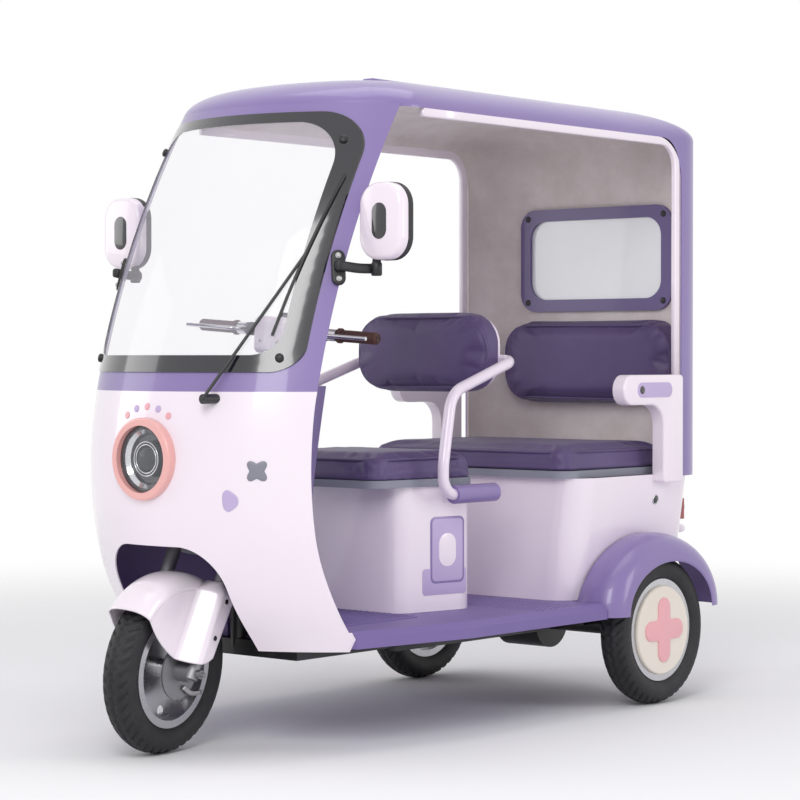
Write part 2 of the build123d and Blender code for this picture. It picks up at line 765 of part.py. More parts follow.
STEER_AXIS = Axis(fork_point(0, 0, 0), (0, sin(radians(RAKE)), cos(radians(RAKE))))


def steered(shape):
    """The shape turned about the column line to the parked steering angle."""
    return shape.rotate(STEER_AXIS, STEER_REST)


def make_tyre(x, y):
    """Solid-section tyre seated on its rim."""
    half = TYRE_WIDTH / 2
    bead = FLANGE_HALF - RIM_SHEET - SEAT_GAP
    base = BEAD_RADIUS + SEAT_GAP
    edge = FLANGE_RADIUS + SEAT_GAP
    outline = Polyline((bead, edge), (bead, base), (-bead, base), (-bead, edge))
    wide = (FLANGE_RADIUS + TYRE_RADIUS) / 2
    left = ThreePointArc((-bead, edge), (-half, wide), (-half * TREAD_SHARE, TYRE_RADIUS - TREAD_DROP))
    tread = ThreePointArc(left @ 1, (0, TYRE_RADIUS), (half * TREAD_SHARE, TYRE_RADIUS - TREAD_DROP))
    right = ThreePointArc(tread @ 1, (half, wide), (bead, edge))
    return wheel_turned(make_face(outline + left + tread + right), x, y)


def wheel_turned(face, x, y):
    """Face given as (distance along the axle, radius), revolved about a wheel's axle."""
    plane = Plane(origin=(x, y, AXLE_HEIGHT), x_dir=(1, 0, 0), z_dir=(0, -1, 0))
    return revolve(plane * face, axis=Axis((x, y, AXLE_HEIGHT), (1, 0, 0)))


def make_rim(x, y, outward, hub_half):
    """Pressed rim with a holed disc and a hub, its disc set towards the outward side."""
    flange = FLANGE_HALF
    rim = Polyline(
        (-flange, FLANGE_RADIUS), (-flange, BEAD_RADIUS - RIM_SHEET), (flange, BEAD_RADIUS - RIM_SHEET),
        (flange, FLANGE_RADIUS), (flange - RIM_SHEET, FLANGE_RADIUS), (flange - RIM_SHEET, BEAD_RADIUS),
        (-flange + RIM_SHEET, BEAD_RADIUS), (-flange + RIM_SHEET, FLANGE_RADIUS), close=True
    )
    disc_x = outward * RIM_DISC_SETBACK
    low, high = sorted((disc_x, disc_x + outward * RIM_SHEET))
    web = disc(BEAD_RADIUS - RIM_SHEET / 2, x + low, x + high, y, AXLE_HEIGHT)
    for index in range(RIM_HOLES):
        angle = 2 * pi * index / RIM_HOLES
        web -= disc(
            RIM_HOLE_DIAMETER / 2, x + low, x + high,
            y + RIM_HOLE_RADIUS * cos(angle), AXLE_HEIGHT + RIM_HOLE_RADIUS * sin(angle)
        )
    hub = disc(HUB_RADIUS, x - hub_half, x + hub_half, y, AXLE_HEIGHT)
    whole = wheel_turned(make_face(rim), x, y) + web + hub
    return whole - disc(AXLE_RADIUS + SEAT_GAP, x - hub_half, x + hub_half, y, AXLE_HEIGHT)


def make_front_wheel():
    """Front tyre and rim; the brake plate stays with the fork."""
    y = FRONT_AXLE_Y
    return {
        "front_tyre": steered(make_tyre(0, y)),
        "front_rim": steered(make_rim(0, y, -1, FRONT_HUB_HALF)),
    }


def make_fork():
    """Column, crown, two legs, the axle with its nuts and the drum brake plate."""
    column = rod(fork_point(0, CROWN_AT, 0), fork_point(0, COLUMN_TOP, 0), COLUMN_RADIUS)
    crown_plane = Plane(origin=fork_point(0, CROWN_AT, TRAIL_OFFSET / 2), x_dir=(1, 0, 0),
                        z_dir=STEER_AXIS.direction)
    crown = extrude(
        crown_plane * RectangleRounded(2 * LEG_X + 3 * LEG_RADIUS, TRAIL_OFFSET + 3 * LEG_RADIUS, LEG_RADIUS),
        amount=CROWN_THICK
    )
    fork = column + crown
    for side in (-1, 1):
        fork += rod(
            fork_point(side * LEG_X, LEG_BOTTOM, TRAIL_OFFSET), fork_point(side * LEG_X, LEG_TOP, TRAIL_OFFSET),
            LEG_RADIUS
        )
        fork += disc(NUT_RADIUS, *sorted((side * (AXLE_HALF - NUT_THICK), side * LEG_X)),
                     FRONT_AXLE_Y, AXLE_HEIGHT)
    fork += disc(AXLE_RADIUS, -AXLE_HALF, AXLE_HALF, FRONT_AXLE_Y, AXLE_HEIGHT)
    plate_x = FRONT_HUB_HALF + RUN_GAP / 2
    fork += disc(DRUM_RADIUS, plate_x, plate_x + BRAKE_PLATE, FRONT_AXLE_Y, AXLE_HEIGHT)
    fork += disc(HUB_RADIUS, plate_x, LEG_X, FRONT_AXLE_Y, AXLE_HEIGHT)
    return steered(fork)


def make_front_fender():
    """Fender hugging the tyre, with a cover down the outside of each fork leg."""
    inner = TYRE_RADIUS + FENDER_CLEAR
    outer = inner + PANEL
    section = make_face(Polyline(
        (-FENDER_HALF, inner - FENDER_SKIRT), (-FENDER_HALF, outer), (FENDER_HALF, outer),
        (FENDER_HALF, inner - FENDER_SKIRT), (FENDER_HALF - PANEL, inner - FENDER_SKIRT),
        (FENDER_HALF - PANEL, inner), (-FENDER_HALF + PANEL, inner),
        (-FENDER_HALF + PANEL, inner - FENDER_SKIRT), close=True
    ))
    axle = Axis((0, FRONT_AXLE_Y, AXLE_HEIGHT), (1, 0, 0))
    plane = Plane(origin=(0, FRONT_AXLE_Y, AXLE_HEIGHT), x_dir=(1, 0, 0), z_dir=(0, -1, 0))
    band = revolve(plane * section, axis=axle, revolution_arc=FENDER_ARC)
    band = band.rotate(axle, FENDER_START)
    covers = None
    for side in (-1, 1):
        x = side * (LEG_X + LEG_RADIUS + LEG_COVER_OUT / 2)
        plane = Plane(origin=fork_point(x, LEG_COVER_LOW, TRAIL_OFFSET), x_dir=(1, 0, 0),
                      z_dir=STEER_AXIS.direction)
        cover = extrude(
            plane * RectangleRounded(LEG_COVER_OUT - 2 * SEAT_GAP, LEG_COVER_WIDTH, LEG_COVER_OUT / 3),
            amount=LEG_COVER_HIGH - LEG_COVER_LOW
        )
        span = abs(x) - FENDER_HALF + PANEL
        ahead = TRAIL_OFFSET + LEG_RADIUS + SEAT_GAP + PANEL / 2
        bridge_plane = Plane(
            origin=fork_point(x - side * span / 2, LEG_COVER_HIGH - 2 * LEG_COVER_OUT, ahead),
            x_dir=(1, 0, 0), z_dir=STEER_AXIS.direction
        )
        bridge = extrude(bridge_plane * Rectangle(span, PANEL), amount=2 * LEG_COVER_OUT)
        covers = cover + bridge if covers is None else covers + cover + bridge
    return steered(band + covers)


def make_handlebar():
    """Handlebar with its levers, the two grips and the headset cover."""
    centre = fork_point(0, COLUMN_TOP, 0)
    clamp_y = centre[1] + BAR_BACK
    clamp_z = centre[2]
    end_z = clamp_z + BAR_RISE
    half_bar = [(BAR_HALF, clamp_y, end_z), (BAR_KNEE, clamp_y, end_z), (BAR_KNEE / 2, clamp_y, clamp_z)]
    bar = tube(half_bar + [(-x, y, z) for x, y, z in reversed(half_bar)], BAR_BEND, BAR_RADIUS)
    stem = Pos(0, (centre[1] + clamp_y) / 2, clamp_z) * Box(2 * STEM_HALF, BAR_BACK + 2 * COLUMN_RADIUS,
                                                            2 * COLUMN_RADIUS)
    bar += stem - rod(fork_point(0, HEAD_LOW, 0), fork_point(0, COLUMN_TOP, 0), COLUMN_RADIUS)
    grips = None
    levers = None
    for side in (-1, 1):
        root = side * (BAR_HALF - GRIP_LENGTH)
        grip = rod((side * BAR_HALF, clamp_y, end_z), (root, clamp_y, end_z), GRIP_RADIUS)
        grip -= rod((side * (BAR_HALF + 1), clamp_y, end_z), (root, clamp_y, end_z), BAR_RADIUS)
        perch_x = root - side * PERCH
        perch = rod((root - side * RUN_GAP, clamp_y, end_z), (perch_x, clamp_y, end_z), GRIP_RADIUS)
        blade = tube([
            (perch_x, clamp_y, end_z), (perch_x, clamp_y - LEVER_REACH, end_z),
            (perch_x + side * LEVER_LENGTH, clamp_y - LEVER_REACH, end_z)
        ], LEVER_REACH / 3, LEVER_RADIUS)
        grips = grip if grips is None else grips + grip
        levers = perch + blade if levers is None else levers + perch + blade
    cover = Pos(0, clamp_y - HEADSET_DEPTH / 2 - 2 * COLUMN_RADIUS, clamp_z) * Box(
        2 * HEADSET_HALF, HEADSET_DEPTH, HEADSET_TALL
    )
    cover = fillet(cover.edges(), HEADSET_ROUND)
    cover -= rod(fork_point(0, HEAD_LOW, 0), fork_point(0, COLUMN_TOP, 0), COLUMN_RADIUS + SEAT_GAP)
    cover -= bar + levers
    return {
        "handlebar": steered(bar + levers),
        "grips": steered(grips),
        "headset_cover": steered(cover),
    }


def make_rear_wheels():
    """Tyre, rim and moulded wheel cover of each rear wheel."""
    pieces = {}
    for name, side in (("left", 1), ("right", -1)):
        x = side * WHEEL_X
        pieces["rear_tyre_" + name] = make_tyre(x, REAR_AXLE_Y)
        pieces["rear_rim_" + name] = make_rim(x, REAR_AXLE_Y, side, REAR_HUB_HALF)
        inner = x + side * (FLANGE_HALF + SEAT_GAP)
        outer = inner + side * COVER_DEPTH
        cover = disc(COVER_RADIUS, *sorted((inner, outer)), REAR_AXLE_Y, AXLE_HEIGHT)
        rim_edge = cover.edges().group_by(Axis.X)[-1 if side > 0 else 0]
        cover = fillet(rim_edge, COVER_EDGE)
        plane = Plane(origin=(outer, REAR_AXLE_Y, AXLE_HEIGHT), z_dir=(side, 0, 0))
        arm = RectangleRounded(2 * CROSS_SPAN, CROSS_ARM, CROSS_ARM / 3)
        cross = arm + Rot(0, 0, 90) * arm
        pieces["wheel_cover_" + name] = cover + extrude(plane * cross, amount=CROSS_HEIGHT)
    return pieces


def make_rear_fenders():
    """Moulded arch over each rear wheel, closed against the tub."""
    def form(inset):
        faces = []
        arches = (
            (FENDER_IN, REAR_FENDER_FRONT, REAR_FENDER_BACK, REAR_FENDER_TOP),
            (FENDER_SHOULDER, REAR_FENDER_FRONT, REAR_FENDER_BACK, REAR_FENDER_TOP),
            (FENDER_OUT - inset, REAR_LIP_FRONT, REAR_LIP_BACK, REAR_FENDER_LIP),
        )
        for x, front, back, top in arches:
            low = REAR_FENDER_LOW - (inset and PANEL)
            corners = [(front + inset, low), (front + inset + FENDER_LEAN, top - inset),
                       (back - inset - FENDER_LEAN, top - inset), (back - inset, low)]
            wire = FilletPolyline(
                *[(x, at(station), z) for station, z in corners],
                radius=[0.01 * FENDER_LEAN, ARCH_ROUND, ARCH_ROUND, 0.01 * FENDER_LEAN], close=True
            )
            faces.append(make_face(wire))
        return loft(faces, ruled=True)
    shell = form(0) - form(PANEL)
    mouth = side_slab(
        [(REAR_LIP_FRONT + PANEL, -PANEL), (REAR_LIP_FRONT + PANEL + FENDER_LEAN, REAR_FENDER_LIP - PANEL),
         (REAR_LIP_BACK - PANEL - FENDER_LEAN, REAR_FENDER_LIP - PANEL), (REAR_LIP_BACK - PANEL, -PANEL)],
        (WHEEL_X, 2 * FENDER_OUT), ARCH_ROUND
    )
    left = shell - mouth - tub_form(-SEAT_GAP)
    return {"rear_fenders": both_sides(left)}


def make_chassis():
    """Welded frame: rails that step up over the rear axle, cross members, head tube and strut."""
    half = RAIL / 2
    low_top = FLOOR_TOP - FLOOR_THICK - SEAT_GAP
    step = FLOOR_REAR + SEAT_GAP
    rail = block((RAIL_X - half, RAIL_X + half), (FRAME_FRONT, step + RAIL), (low_top - RAIL, low_top))
    rail += block((RAIL_X - half, RAIL_X + half), (step, step + RAIL), (low_top - RAIL, FLOOR_TOP))
    rail += block((RAIL_X - half, RAIL_X + half), (step, FRAME_REAR), (FLOOR_TOP - RAIL, FLOOR_TOP))
    frame = both_sides(rail)
    for station in (FRAME_FRONT, BOX_FRONT, step - RAIL):
        frame += block((-RAIL_X, RAIL_X), (station, station + RAIL), (low_top - RAIL, low_top))
    frame += block((-RAIL_X, RAIL_X), (FRAME_REAR - RAIL, FRAME_REAR), (FLOOR_TOP - RAIL, FLOOR_TOP))
    head = rod(fork_point(0, HEAD_LOW, 0), fork_point(0, HEAD_HIGH, 0), HEAD_RADIUS)
    foot = (0, at(FRAME_FRONT + half), low_top - half)
    frame += head + rod(foot, fork_point(0, (HEAD_LOW + HEAD_HIGH) / 2, -HEAD_RADIUS), HEAD_RADIUS)
    bore = rod(fork_point(0, HEAD_LOW - 1, 0), fork_point(0, HEAD_HIGH + 1, 0), COLUMN_RADIUS + SEAT_GAP)
    holes = None
    for side in (-1, 1):
        plane = Plane(origin=(side * HITCH_SPACING / 2, at(FRAME_REAR), FLOOR_TOP - half), z_dir=(0, -1, 0))
        hole = extrude(plane * Circle(HITCH_HOLE_RADIUS), amount=RAIL)
        holes = hole if holes is None else holes + hole
    return frame - bore - holes


def make_rear_axle():
    """Rear axle beam with the drive motor and springs up to the frame."""
    inner = WHEEL_X - REAR_HUB_HALF - RUN_GAP
    beam = disc(BEAM_RADIUS, -inner, inner, REAR_AXLE_Y, AXLE_HEIGHT)
    beam += disc(AXLE_RADIUS, -WHEEL_X - REAR_HUB_HALF, WHEEL_X + REAR_HUB_HALF, REAR_AXLE_Y, AXLE_HEIGHT)
    beam += disc(MOTOR_RADIUS, -MOTOR_LENGTH / 2, MOTOR_LENGTH / 2, REAR_AXLE_Y, AXLE_HEIGHT)
    half = SPRING_WIDTH / 2
    perch = block(
        (RAIL_X - half, RAIL_X + half), (WHEELBASE - SPRING_WIDTH, WHEELBASE + SPRING_WIDTH),
        (AXLE_HEIGHT, FLOOR_TOP - RAIL - SEAT_GAP)
    )
    return beam + both_sides(perch)


def make_rear_guard():
    """Tubular rear guard of two loops fixed under the rear shell."""
    guard = None
    for z in (GUARD_LOW, GUARD_HIGH):
        y_back = at(GUARD_BACK)
        y_fix = at(TUB_REAR + SEAT_GAP)
        loop = tube([
            (-GUARD_HALF, y_fix, z), (-GUARD_HALF, y_back, z), (GUARD_HALF, y_back, z), (GUARD_HALF, y_fix, z)
        ], GUARD_BEND, GUARD_RADIUS)
        guard = loop if guard is None else guard + loop
    for side in (-1, 1):
        x = side * (GUARD_HALF - GUARD_BEND - GUARD_RADIUS)
        guard += rod((x, at(GUARD_BACK), GUARD_LOW), (x, at(GUARD_BACK), GUARD_HIGH), GUARD_RADIUS)
    return guard


def make_mirrors():
    """Mirror head, arm and pillar plate on each side."""
    root_station = nose_station(MIRROR_ARM_HEIGHT) + PILLAR_SWEEP - MIRROR_PLATE
    root_x = bowed_half_width(MIRROR_ARM_HEIGHT, root_station) + SEAT_GAP + MIRROR_ARM_RADIUS
    plate = Pos(root_x, at(root_station), MIRROR_ARM_HEIGHT) * Box(
        2 * MIRROR_ARM_RADIUS, MIRROR_PLATE, MIRROR_PLATE_TALL
    )
    plate = plate.rotate(Axis((root_x, at(root_station), MIRROR_ARM_HEIGHT), (0, 0, 1)), MIRROR_PLATE_TURN)
    arm = tube([
        (root_x, at(root_station), MIRROR_ARM_HEIGHT), (MIRROR_X, at(MIRROR_STATION), MIRROR_ARM_HEIGHT),
        (MIRROR_X, at(MIRROR_STATION), MIRROR_HEIGHT)
    ], 2 * MIRROR_ARM_RADIUS, MIRROR_ARM_RADIUS)
    head = Pos(MIRROR_X, at(MIRROR_STATION), MIRROR_HEIGHT) * Box(MIRROR_WIDTH, MIRROR_DEPTH, MIRROR_TALL)
    head = fillet(head.edges().filter_by(Axis.Y), MIRROR_ROUND)
    head = fillet(head.edges().group_by(Axis.Y)[0], MIRROR_ROUND / 3)
    left = arm + head + plate - bowed_solid(
        MIRROR_ARM_HEIGHT - MIRROR_PLATE_TALL, MIRROR_ARM_HEIGHT + MIRROR_PLATE_TALL, SEAT_GAP, 4
    )
    return {"mirror_left": left, "mirror_right": mirror(left, about=Plane.YZ)}


def make_wiper():
    """Wiper pivot, arm and blade lying on the screen."""
    on_glass = SCREEN_THICK + 2 * SEAT_GAP + 2 * WIPER_RADIUS
    foot = screen_point(WIPER_X, WIPER_HEIGHT, -PANEL)
    raised = screen_point(WIPER_X, WIPER_HEIGHT, WIPER_LIFT)
    base = rod(foot, raised, 3 * WIPER_RADIUS)
    base -= bowed_solid(WIPER_HEIGHT - WIPER_LIFT, WIPER_HEIGHT + WIPER_LIFT, SEAT_GAP, 2)
    places = []
    for step in range(BLADE_STEPS + 1):
        share = step / BLADE_STEPS
        x = BLADE_LOW_X + (BLADE_HIGH_X - BLADE_LOW_X) * share
        z = BLADE_LOW_HEIGHT + (BLADE_HIGH_HEIGHT - BLADE_LOW_HEIGHT) * share
        places.append(screen_point(x, z, on_glass))
    blade = tube(places, WIPER_BEND, WIPER_RADIUS)
    arm = rod(raised, places[BLADE_STEPS // 2], WIPER_RADIUS)
    return arm + base + blade


def screen_point(x, z, offset):
    """Point at x and height z, an offset outside the bowed front."""
    centre = nose_station(z) + plan_radius(z)
    return (x, at(centre - sqrt((plan_radius(z) + offset) ** 2 - x**2)), z)


def make_tail_lamps():
    """Tail lamp on each side of the tub's back wall."""
    lamp = block(
        (LAMP_X - TAIL_WIDTH / 2, LAMP_X + TAIL_WIDTH / 2),
        (TUB_REAR + SEAT_GAP, TUB_REAR + TAIL_DEPTH), (TAIL_LOW, TAIL_LOW + TAIL_TALL)
    )
    return both_sides(lamp)


def make_battery():
    """Battery pack in the driver's seat box."""
    base = FLOOR_TOP + SEAT_GAP + PANEL + SEAT_GAP
    middle = (BOX_FRONT + BOX_REAR) / 2
    half = (BOX_HALF_FRONT + BOX_HALF_REAR) / 2 - BOX_CORNER
    return block((-half, half), (middle - BATTERY_LENGTH / 2, middle + BATTERY_LENGTH / 2),
                 (base, base + BATTERY_TALL))


def bowed_half_width(z, station):
    """X of the bowed front's left side at a height and station."""
    centre = nose_station(z) + plan_radius(z)
    return sqrt(plan_radius(z) ** 2 - (centre - station) ** 2)


PIECES = {
    "chassis_frame": make_chassis(),
    "rear_axle": make_rear_axle(),
    "floor_board": make_floor(),
    "front_cowl": make_front_cowl(),
    "knee_panel": make_knee_panel(),
    "rear_tub": make_rear_tub(),
    "driver_seat_box": make_seat_box(),
    "rear_guard": make_rear_guard(),
    "fork": make_fork(),
    "front_fender": make_front_fender(),
    "wiper": make_wiper(),
    "tail_lamps": make_tail_lamps(),
    "battery_block": make_battery(),
}
for maker in (
    make_headlamp, make_screen, make_canopy, make_rear_window, make_seats, make_backrests,
    make_front_wheel, make_handlebar, make_rear_wheels, make_rear_fenders, make_mirrors
):
    PIECES.update(maker())

os.makedirs("parts", exist_ok=True)
for name, piece in PIECES.items():
    print(name, round(piece.volume / 1000), len(piece.solids()), piece.is_valid)
    export_step(piece, f"parts/{name}.step")
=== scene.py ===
"""Covered electric tricycle: its finishes and fine pieces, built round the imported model."""

import logging
import math
from dataclasses import dataclass
from enum import Enum

import bmesh
import bpy
import numpy as np
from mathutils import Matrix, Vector
from numpy.typing import NDArray


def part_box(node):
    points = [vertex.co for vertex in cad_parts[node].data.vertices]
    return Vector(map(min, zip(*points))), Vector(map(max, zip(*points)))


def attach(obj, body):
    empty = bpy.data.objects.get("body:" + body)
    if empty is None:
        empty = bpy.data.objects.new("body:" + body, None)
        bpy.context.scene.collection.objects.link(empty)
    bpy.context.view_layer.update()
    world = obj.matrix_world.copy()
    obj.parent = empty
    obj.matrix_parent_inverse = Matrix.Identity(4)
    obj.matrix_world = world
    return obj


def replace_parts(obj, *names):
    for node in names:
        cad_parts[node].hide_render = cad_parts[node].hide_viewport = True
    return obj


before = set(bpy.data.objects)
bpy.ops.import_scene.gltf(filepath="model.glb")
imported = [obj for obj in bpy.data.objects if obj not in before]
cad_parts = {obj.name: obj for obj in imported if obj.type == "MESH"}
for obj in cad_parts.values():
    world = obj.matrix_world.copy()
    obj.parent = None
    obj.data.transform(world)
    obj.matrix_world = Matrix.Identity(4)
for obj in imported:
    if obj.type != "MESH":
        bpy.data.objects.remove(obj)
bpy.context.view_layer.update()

log = logging.getLogger("tricycle")
Array = NDArray[np.float64]
Object = bpy.types.Object
Material = bpy.types.Material
Colour = tuple[float, float, float, float]
Point = tuple[float, float, float]

FULL_TURN = 2 * math.pi
ON_AXLE = 1e-5
SOFTENING_ROUNDS = 6


class Body(Enum):
    """The moving bodies that pieces ride on."""

    CHASSIS = "chassis"
    STEERING = "steering"
    FRONT_WHEEL = "front_wheel"
    REAR_LEFT = "rear_wheel_left"
    REAR_RIGHT = "rear_wheel_right"
    DRIVER_LID = "driver_seat_lid"
    REAR_LID = "rear_seat_lid"


# Colour and node helpers

def srgb(code: str) -> Colour:
    """Linear colour of an sRGB hex code.

    Args:
        code: six hex digits, such as "8a78ad".

    Returns:
        Linear red, green, blue and an alpha of one.
    """
    parts = np.array([int(code[i:i + 2], 16) for i in (0, 2, 4)]) / 255
    linear = np.where(parts <= 0.04045, parts / 12.92, ((parts + 0.055) / 1.055) ** 2.4)
    return (float(linear[0]), float(linear[1]), float(linear[2]), 1.0)


def add(tree: bpy.types.NodeTree, kind: str, settings: dict | None = None,
        links: dict | None = None) -> bpy.types.Node:
    """Adds one node with its settings and its incoming links.

    Args:
        tree: the node tree that gets the node.
        kind: the node's type name, without the ShaderNode prefix.
        settings: attribute names, or socket names or numbers, with their values.
        links: socket names or numbers with the output sockets that feed them.

    Returns:
        The new node.
    """
    node = tree.nodes.new("ShaderNode" + kind)
    for key, value in (settings or {}).items():
        if isinstance(key, str) and hasattr(node, key):
            setattr(node, key, value)
        else:
            node.inputs[key].default_value = value
    for key, socket in (links or {}).items():
        tree.links.new(socket, node.inputs[key])
    return node


def blank_material(name: str) -> tuple[Material, bpy.types.NodeTree]:
    """New node material with nothing in it.

    Args:
        name: the material's name.

    Returns:
        The material and its node tree.
    """
    material = bpy.data.materials.new(name)
    material.use_nodes = True
    material.node_tree.nodes.clear()
    return material, material.node_tree


def surface(tree: bpy.types.NodeTree, settings: dict, links: dict | None = None) -> bpy.types.Node:
    """Adds a Principled shader joined to a material output.

    Args:
        tree: the node tree that gets both nodes.
        settings: the shader's constant values.
        links: the shader's linked sockets.

    Returns:
        The shader node.
    """
    shader = add(tree, "BsdfPrincipled", settings, links)
    add(tree, "OutputMaterial", links={"Surface": shader.outputs[0]})
    return shader


def two_tone(tree: bpy.types.NodeTree, share: bpy.types.NodeSocket, shade: str, tint: str, low: float = 0.0,
             high: float = 1.0) -> bpy.types.NodeSocket:
    """Adds a ramp between two colours.

    Args:
        tree: the node tree that gets the ramp.
        share: the socket that drives it.
        shade: hex code of the colour at its low end.
        tint: hex code of the colour at its high end.
        low: place of the low end.
        high: place of the high end.

    Returns:
        The ramp's colour socket.
    """
    ramp = add(tree, "ValToRGB", links={"Fac": share})
    for end, code, place in zip(ramp.color_ramp.elements, (shade, tint), (low, high)):
        end.color = srgb(code)
        end.position = place
    return ramp.outputs["Color"]


def bumped(tree: bpy.types.NodeTree, height: bpy.types.NodeSocket, strength: float,
           distance: float) -> bpy.types.NodeSocket:
    """Adds a bump and gives its normal socket.

    Args:
        tree: the node tree that gets the bump.
        height: the socket that drives it.
        strength: share of the bump that shows.
        distance: height of the bump in metres.

    Returns:
        The bump's normal socket.
    """
    return add(tree, "Bump", {"Strength": strength, "Distance": distance}, {"Height": height}).outputs["Normal"]


# Finishes

@dataclass(frozen=True)
class MouldedShell:
    """Injection-moulded ABS body panel, painted and clear coated: deep colour, crisp soft-box gleams."""

    name: str
    tint: str
    shade: str
    roughness: float = 0.3
    coat: float = 0.6
    ripple: float = 0.05
    ripple_size: float = 0.04

    def build(self) -> Material:
        """Paint whose tone drifts a little across a panel, under a coat with a faint ripple.

        Returns:
            The material.
        """
        material, tree = blank_material(self.name)
        place = add(tree, "TexCoord").outputs["Object"]
        drift = add(tree, "TexNoise", {"Scale": 1 / 0.35, "Detail": 2.0}, {"Vector": place})
        paint = two_tone(tree, drift.outputs["Fac"], self.shade, self.tint, 0.3, 0.7)
        peel = add(tree, "TexNoise", {"Scale": 1 / self.ripple_size, "Detail": 1.0}, {"Vector": place})
        bump = bumped(tree, peel.outputs["Fac"], self.ripple, 0.002)
        surface(
            tree,
            {"Roughness": self.roughness, "IOR": 1.5, "Coat Weight": self.coat, "Coat Roughness": 0.06},
            {"Base Color": paint, "Normal": bump},
        )
        return material


@dataclass(frozen=True)
class GrainedPlastic:
    """Textured polypropylene moulding: a fine leather-like grain that breaks up the shine."""

    name: str
    tint: str
    shade: str
    roughness: float = 0.5
    grain: float = 0.0025
    depth: float = 0.25

    def build(self) -> Material:
        """Grain cells of the given size, drawn coarse enough to show, with matching roughness.

        Returns:
            The material.
        """
        material, tree = blank_material(self.name)
        place = add(tree, "TexCoord").outputs["Object"]
        cells = add(tree, "TexVoronoi", {"Scale": 1 / self.grain}, {"Vector": place})
        drift = add(tree, "TexNoise", {"Scale": 6.0, "Detail": 3.0}, {"Vector": place})
        paint = two_tone(tree, drift.outputs["Fac"], self.shade, self.tint)
        bump = bumped(tree, cells.outputs["Distance"], self.depth, 0.0006)
        surface(tree, {"Roughness": self.roughness, "IOR": 1.49},
                {"Base Color": paint, "Normal": bump})
        return material


@dataclass(frozen=True)
class Leatherette:
    """Polyurethane upholstery leather: pebbled grain, soft sheen, a little lighter where it is stretched."""

    name: str
    tint: str
    shade: str
    pebble: float = 0.0035

    def build(self) -> Material:
        """Pebble cells with creases between them and a slow change of tone over the foam.

        Returns:
            The material.
        """
        material, tree = blank_material(self.name)
        place = add(tree, "TexCoord").outputs["Object"]
        pebbles = add(tree, "TexVoronoi", {"feature": "SMOOTH_F1", "Scale": 1 / self.pebble}, {"Vector": place})
        creases = add(tree, "TexNoise", {"Scale": 28.0, "Detail": 6.0, "Roughness": 0.6}, {"Vector": place})
        tone = add(tree, "TexNoise", {"Scale": 5.0, "Detail": 4.0}, {"Vector": place})
        paint = two_tone(tree, tone.outputs["Fac"], self.shade, self.tint, 0.25, 0.75)
        height = add(tree, "Math", {"operation": "MULTIPLY_ADD", 1: 0.35},
                     {0: creases.outputs["Fac"], 2: pebbles.outputs["Distance"]})
        bump = bumped(tree, height.outputs[0], 0.3, 0.0008)
        shine = add(tree, "MapRange", {"To Min": 0.42, "To Max": 0.58}, {"Value": creases.outputs["Fac"]})
        surface(tree, {"IOR": 1.48, "Sheen Weight": 0.12, "Sheen Roughness": 0.5},
                {"Base Color": paint, "Roughness": shine.outputs[0],
                 "Normal": bump})
        return material


@dataclass(frozen=True)
class LiningCloth:
    """Brushed knit glued over foam board, the roof and wall lining: fine nap, soft blotches, no shine."""

    name: str
    tint: str
    shade: str
    thread: float = 0.003

    def build(self) -> Material:
        """Crossed threads of the given spacing over slow stains where the glue shows through.

        Returns:
            The material.
        """
        material, tree = blank_material(self.name)
        place = add(tree, "TexCoord").outputs["Object"]
        blotch = add(tree, "TexNoise", {"Scale": 7.0, "Detail": 5.0, "Roughness": 0.65}, {"Vector": place})
        nap = add(tree, "TexNoise", {"Scale": 1 / self.thread, "Detail": 3.0}, {"Vector": place})
        paint = two_tone(tree, blotch.outputs["Fac"], self.shade, self.tint, 0.3, 0.68)
        height = add(tree, "Math", {"operation": "MULTIPLY_ADD", 1: 0.5},
                     {0: nap.outputs["Fac"], 2: blotch.outputs["Fac"]})
        bump = bumped(tree, height.outputs[0], 0.35, 0.004)
        surface(tree, {"Roughness": 0.95, "Sheen Weight": 0.3, "Sheen Roughness": 0.6, "IOR": 1.4},
                {"Base Color": paint, "Normal": bump})
        return material


@dataclass(frozen=True)
class BareMetal:
    """Polished, brushed or plated metal: reflections broken by fine scratches and a little grime."""

    name: str
    tint: str
    roughness: float
    scratch: float = 0.004
    wear: float = 0.12

    def build(self) -> Material:
        """Metal whose roughness varies with grime and whose normal varies with scratches.

        Returns:
            The material.
        """
        material, tree = blank_material(self.name)
        place = add(tree, "TexCoord").outputs["Object"]
        grime = add(tree, "TexNoise", {"Scale": 18.0, "Detail": 6.0}, {"Vector": place})
        scratch = add(tree, "TexNoise", {"Scale": 1 / self.scratch, "Detail": 2.0}, {"Vector": place})
        rough = add(tree, "MapRange", {"To Min": self.roughness, "To Max": self.roughness + self.wear},
                    {"Value": grime.outputs["Fac"]})
        bump = bumped(tree, scratch.outputs["Fac"], 0.08, 0.0005)
        surface(tree, {"Base Color": srgb(self.tint), "Metallic": 1.0},
                {"Roughness": rough.outputs[0], "Normal": bump})
        return material


